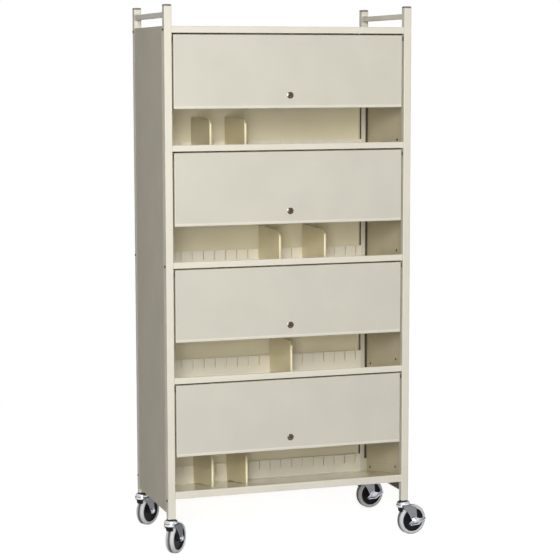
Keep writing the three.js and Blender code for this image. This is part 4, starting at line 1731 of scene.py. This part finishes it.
    def fork_line(self) -> list[Pair]:
        """Outer line of the fork across the wheel, from one foot over the crown to the other.

        Returns:
            Pairs of distance from the middle of the wheel and height.
        """
        foot = self.wheel_radius - self.foot_radius
        knees = [foot + self.foot_radius * (1 - math.cos(angle))
                 for angle in quarter_turn(self.foot_steps)[:-1]]
        rises = [self.wheel_radius + share * (self.crown_top - self.bend - self.wheel_radius)
                 for share in self.leg_shares]
        half = [(self.leg_outer, height) for height in knees + rises]
        for angle in quarter_turn(self.bend_steps)[1:]:
            half.append((self.leg_outer - self.bend * (1 - math.cos(angle)),
                         self.crown_top - self.bend * (1 - math.sin(angle))))
        half += [(share * (self.leg_outer - self.bend), self.crown_top) for share in self.crown_shares]
        return [(-across, height) for across, height in half] + [(0.0, self.crown_top)] + half[::-1]

    def fork(self, place: str, swivel: Matrix, braked: bool) -> None:
        """The pressed fork with its apron, thread guard, swivel head and axle.

        Args:
            place: the caster's place.
            swivel: the caster's frame.
            braked: whether a brake lever sits on the axle.
        """
        body = f"fork_{place}"
        line = self.fork_line()
        inner = beside_line(line, -self.leg_sheet)
        rings = []
        for (across, height), (across_in, height_in) in zip(line, inner):
            front, rear = self.leg_span(across, height)
            rings.append([Vector((front, across, height)), Vector((rear, across, height)),
                          Vector((rear, across_in, height_in)), Vector((front, across_in, height_in))])
        Shape().skin(rings).piece(f"caster_fork_sheet_{place}", FORK_SHADED_CHROME, swivel, body, edge=self.edge,
                                  stands_for=[f"caster_fork_{place}"])
        rim = (self.crown_front, self.crown_top - self.apron_tuck)
        brow = (self.crown_front, self.crown_bottom - self.apron_drop)
        self.apron(rim, brow).piece(f"caster_apron_{place}", CHROME, swivel, body)
        tuck = (self.crown_front - self.leg_sheet, self.crown_bottom - self.leg_sheet / 2)
        hem = (self.crown_front - self.guard_taper, self.crown_bottom - self.guard_drop)
        self.apron(tuck, hem).piece(f"caster_guard_{place}", HUB_PLASTIC, swivel, body)
        self.swivel_head(place, swivel)
        self.axle(place, swivel, braked)

    def apron(self, upper: Pair, lower: Pair) -> Shape:
        """A round skirt under the front half of the crown.

        Args:
            upper: radius and height of its upper edge.
            lower: radius and height of its lower edge.

        Returns:
            The skirt's shape.
        """
        reach = math.asin((self.leg_inner - self.plan.fit) / self.crown_front)
        section = (upper, lower, (lower[0] - self.apron_sheet, lower[1]),
                   (upper[0] - self.apron_sheet, upper[1]))
        rings = []
        for step in range(self.apron_steps + 1):
            angle = math.pi + reach * (2 * step / self.apron_steps - 1)
            rings.append([Vector((radius * math.cos(angle), radius * math.sin(angle), height))
                          for radius, height in section])
        return Shape().skin(rings)

    def swivel_head(self, place: str, swivel: Matrix) -> None:
        """The bell-shaped ball race between the crown and the stem.

        Args:
            place: the caster's place.
            swivel: the caster's frame.
        """
        bore = self.kingpin_radius + self.plan.fit
        base = self.crown_top - self.race_sink
        top = self.swivel_top
        rise = top - base
        flare = self.swivel_radius - self.swivel_top_radius
        profile = [(bore, base), (self.swivel_radius - self.race_ease, base),
                   (self.swivel_radius, base + self.race_ease)]
        for angle in quarter_turn(self.race_steps)[1:]:
            profile.append((self.swivel_top_radius + flare * math.cos(angle) ** self.race_fullness,
                            base + self.race_foot * rise + self.race_rise * rise * math.sin(angle)))
        profile += [(self.swivel_top_radius - self.race_lip, top), (bore, top)]
        Shape().lathe(profile, Axis.Z, closed=True, steps=self.race_flats).piece(
            f"caster_race_{place}", CHROME, swivel, f"fork_{place}")

    def axle(self, place: str, swivel: Matrix, braked: bool) -> None:
        """The axle bolt with a washer and a six-sided nut at each end.

        Args:
            place: the caster's place.
            swivel: the caster's frame.
            braked: whether a brake lever sits on the axle.
        """
        spare = self.lever_sheet + 2 * self.plan.fit if braked else 0.0
        near = -self.leg_outer - spare
        far = self.leg_outer
        start = near - self.nut_height
        end = far + self.nut_height
        radius = self.axle_radius
        point = radius - self.axle_ease
        brim = self.nut_radius + self.washer_rim
        chamfer_in, chamfer_down = self.nut_chamfer
        centre = (self.trail, 0, self.wheel_radius)
        bolt = [(0.0, start - self.axle_tip), (point, start - self.axle_tip), (radius, start),
                (radius, end), (point, end + self.axle_tip), (0.0, end + self.axle_tip)]
        shape = Shape().lathe(bolt, Axis.Y, centre, steps=self.axle_steps)
        for seat, side in ((near, -1), (far, 1)):
            top = seat + side * self.washer_sheet
            washer = [(radius, seat), (brim, seat), (brim, top), (radius, top)]
            shape.lathe(washer, Axis.Y, centre, steps=self.washer_steps, closed=True)
            crest = seat + side * self.nut_height
            nut = [(radius, top), (self.nut_radius, top), (self.nut_radius, crest - side * chamfer_down),
                   (self.nut_radius - chamfer_in, crest), (radius, crest)]
            shape.lathe(nut, Axis.Y, centre, steps=NUT_SIDES, closed=True)
        shape.piece(f"caster_axle_{place}", CHROME, swivel, f"fork_{place}", edge=self.axle_edge)

    def wheel(self, place: str, swivel: Matrix) -> None:
        """Hub and tyre, each in a frame whose origin is the middle of the wheel.

        Args:
            place: the caster's place.
            swivel: the caster's frame.
        """
        body = f"wheel_{place}"
        middle = self.wheel_place(swivel)
        Shape().lathe(both_sides(self.hub_side()), Axis.Y, steps=self.hub_steps, closed=True).piece(
            f"caster_hub_disc_{place}", HUB_PLASTIC, middle, body, stands_for=[f"caster_hub_{place}"])
        Shape().lathe(both_sides(self.tyre_side()), Axis.Y, steps=self.tyre_steps, closed=True).piece(
            f"caster_tyre_ring_{place}", TYRE_GREY, middle, body, stands_for=[f"caster_tyre_{place}"])

    def hub_side(self) -> list[Pair]:
        """Profile of one side of a hub: the boss, the dished web and the rim.

        Returns:
            Pairs of radius and distance from the middle of the wheel.
        """
        face = self.hub_width / 2
        web = face - self.web_depth
        boss = self.tread_width / 2
        side = [(self.bore, boss), (self.hub_boss - self.boss_ease, boss),
                (self.hub_boss, boss - self.boss_ease)]
        side += [(self.hub_boss + reach, web + rise) for reach, rise in self.boss_root]
        side += [(self.hub_radius - inset, web + rise) for inset, rise in self.rim_root]
        side += [(self.hub_radius - inset, face - drop) for inset, drop in self.rim_brow]
        return side

    def tyre_side(self) -> list[Pair]:
        """Profile of one side of a tyre: the bead, the wall and half of the crowned tread.

        Returns:
            Pairs of radius and distance from the middle of the wheel.
        """
        bead = self.hub_width / 2
        inner = self.hub_radius + self.plan.fit
        edge = self.tread_width / 2
        side = [(inner, bead), (inner + self.bead_rise, bead + self.bead_swell),
                (inner + self.wall_rise, edge - self.wall_ease)]
        for angle in quarter_turn(self.tread_steps):
            side.append((self.wheel_radius - self.tread_crown * (1 - math.sin(angle)),
                         edge - self.tread_crown * (1 - math.cos(angle))))
        return side

    def lever(self, place: str, swivel: Matrix) -> None:
        """The brake lever: a plate round the axle end with its lower edge turned out as a foot rail.

        Args:
            place: the caster's place.
            swivel: the caster's frame.
        """
        fit = self.plan.fit
        near = self.leg_outer + fit
        outer = near + self.lever_sheet
        eye = self.lever_eye
        corners = [(-self.lever_short_arm, -self.lever_drop), (eye, -self.lever_drop),
                   (2 * eye, -self.lever_rise), (self.lever_long_arm, self.lever_rise)]
        edge = folded_line(corners, self.lever_fold, self.lever_steps)
        rail = edge + beside_line(edge, self.lever_sheet)[::-1]
        plate = edge + [(self.lever_long_arm, self.lever_rise + self.lever_tip), (2 * eye, self.lever_tip)]
        start, sweep = self.eye_turn
        for step in range(self.eye_steps + 1):
            angle = math.pi * (start + sweep * step / self.eye_steps)
            plate.append((eye * math.cos(angle), eye * math.sin(angle)))
        plate.append((-self.lever_short_arm, self.lever_tip - self.lever_drop))
        shape = Shape().prism(plate, Axis.Y, -outer, -near)
        shape.prism(rail, Axis.Y, -outer - self.lever_pedal, -outer)
        made = shape.bare(f"brake_lever_plate_{place}", self.wheel_place(swivel))
        hole = round_outline(self.bore, self.bore_steps)
        carve(made, Shape().prism(hole, Axis.Y, -outer - fit, fit - near))
        dress(made, CHROME, f"lever_{place}", edge=self.edge, stands_for=[f"brake_lever_{place}"])


@dataclass(frozen=True)
class Lamp:
    """A soft round lamp."""

    name: str
    place: tuple[float, float, float]
    span: Pair
    power: float

    def hang(self, target: Vector) -> None:
        """Makes the lamp.

        Args:
            target: the point that it shines at.
        """
        data = bpy.data.lights.new(self.name, "AREA")
        data.shape = "ELLIPSE"
        data.size, data.size_y = self.span
        data.energy = self.power
        made = bpy.data.objects.new(self.name, data)
        bpy.context.scene.collection.objects.link(made)
        made.location = self.place
        made.rotation_mode = "QUATERNION"
        made.rotation_quaternion = (target - Vector(self.place)).to_track_quat("-Z", "Y")


@dataclass(frozen=True)
class Studio:
    """Pale floor, soft light, plain surround and the camera."""

    plan: RackPlan
    lens: float = 115.83
    sensor: float = 36.0
    sight: float = 100.0
    eye: tuple[float, float, float] = (-1.8665, -5.5488, 1.5807)
    yaw: float = 0.3185
    pitch: float = -0.1174
    roll: float = -0.0015
    floor_reach: float = 20.0
    floor_sheet: float = 0.02
    floor_pale: Colour = (0.88, 0.88, 0.88, 1.0)
    floor_dim: Colour = (0.14, 0.135, 0.125, 1.0)
    floor_glow: float = 0.72
    floor_fade: Pair = (0.8, 2.6)
    # A tall lamp in front, a shorter one higher up, a small weak one above them and one behind.
    lamps: tuple[Lamp, ...] = (Lamp("key", (-1.9, -5.4, 1.8), (1.4, 3.2), 200.0),
                               Lamp("fill", (-1.6, -5.2, 2.7), (1.4, 1.2), 105.0),
                               Lamp("top", (0.6, -4.1, 4.2), (0.62, 0.62), 6.0),
                               Lamp("rear", (1.6, 5.4, 2.0), (1.6, 3.2), 80.0))
    sky: Colour = (0.15, 0.146, 0.139, 1.0)
    ground: Colour = (0.128, 0.119, 0.102, 1.0)
    sky_span: Pair = (-0.3, 0.8)

    def build(self) -> None:
        """Makes the camera, the floor, the surround and the lamps."""
        self.camera()
        self.floor()
        self.surround()
        for lamp in self.lamps:
            lamp.hang(Vector((0.0, 0.0, self.plan.top / 2)))
        bpy.context.scene.view_settings.view_transform = "Standard"

    def camera(self) -> None:
        """The camera at the photograph's place."""
        data = bpy.data.cameras.new("camera")
        data.lens = self.lens
        data.sensor_width = self.sensor
        data.clip_end = self.sight
        level = math.cos(self.pitch)
        forward = Vector((math.sin(self.yaw) * level, math.cos(self.yaw) * level, math.sin(self.pitch)))
        right = Vector((math.cos(self.yaw), -math.sin(self.yaw), 0.0))
        up = right.cross(forward)
        leaned = right * math.cos(self.roll) + up * math.sin(self.roll)
        risen = leaned.cross(forward)
        turned = Matrix((leaned, risen, -forward)).transposed().to_4x4()
        made = bpy.data.objects.new("camera", data)
        bpy.context.scene.collection.objects.link(made)
        made.matrix_world = Matrix.Translation(self.plan.place @ Vector(self.eye)) @ turned
        bpy.context.scene.camera = made

    @staticmethod
    def seen(sheet: NodeSheet) -> bpy.types.NodeSocket:
        """Marks the rays that show the surround: straight to the camera, in gloss or through glass.

        Args:
            sheet: the nodes that ask.

        Returns:
            1 on those rays and 0 on the others.
        """
        path = sheet.add("ShaderNodeLightPath")
        direct = sheet.larger(path.outputs["Is Camera Ray"], path.outputs["Is Glossy Ray"])
        return sheet.larger(direct, path.outputs["Is Transmission Ray"])

    def floor(self) -> None:
        """A wide pale floor that looks white where it is lit and keeps the shadow."""
        reach = self.floor_reach
        slab = Shape().block((-reach, -reach, -self.floor_sheet), (reach, reach, 0.0))
        made = slab.bare("floor", Matrix.Identity(4))
        material = bpy.data.materials.new("pale_floor")
        material.use_nodes = True
        sheet = NodeSheet(material.node_tree)
        lit = sheet.add("ShaderNodeBsdfDiffuse", {"Color": self.floor_pale})
        dim = sheet.add("ShaderNodeBsdfDiffuse", {"Color": self.floor_dim})
        glow = sheet.add("ShaderNodeEmission", {"Strength": self.floor_glow})
        white = sheet.add("ShaderNodeEmission")
        bright = sheet.add("ShaderNodeAddShader")
        sheet.join(lit.outputs["BSDF"], bright.inputs[0])
        sheet.join(glow.outputs["Emission"], bright.inputs[1])
        away = sheet.add("ShaderNodeVectorMath", operation="LENGTH")
        sheet.join(sheet.place(), away.inputs[0])
        fade = sheet.spread(away.outputs["Value"], self.floor_fade, UNIT)
        shown = sheet.between(fade, bright.outputs["Shader"], white.outputs["Emission"])
        output = sheet.add("ShaderNodeOutputMaterial")
        sheet.join(sheet.between(self.seen(sheet), dim.outputs["BSDF"], shown), output.inputs["Surface"])
        made.data.materials.append(material)

    def surround(self) -> None:
        """White where it is seen, and a soft light from above on everything else."""
        world = bpy.data.worlds.new("surround")
        world.use_nodes = True
        bpy.context.scene.world = world
        sheet = NodeSheet(world.node_tree)
        direction = sheet.add("ShaderNodeSeparateXYZ")
        sheet.join(sheet.add("ShaderNodeTexCoord").outputs["Generated"], direction.inputs["Vector"])
        height = sheet.spread(direction.outputs["Z"], self.sky_span, UNIT)
        soft = sheet.add("ShaderNodeBackground")
        sheet.join(sheet.mix(height, self.ground, self.sky), soft.inputs["Color"])
        white = sheet.add("ShaderNodeBackground", {"Color": WHITE})
        shown = sheet.between(self.seen(sheet), soft.outputs["Background"], white.outputs["Background"])
        output = sheet.add("ShaderNodeOutputWorld")
        sheet.join(shown, output.inputs["Surface"])


def main() -> None:
    """Builds the rack's pieces in order."""
    logging.basicConfig(level=logging.INFO, format="%(name)s: %(message)s")
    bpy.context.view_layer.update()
    plan = RackPlan()
    sheet_work = SheetWork(plan)
    groups = (Studio(plan), PostFrame(plan), sheet_work, Dividers(plan, sheet_work), Doors(plan),
              Casters(plan))
    for group in groups:
        group.build()


if __name__ == "__main__":
    main()
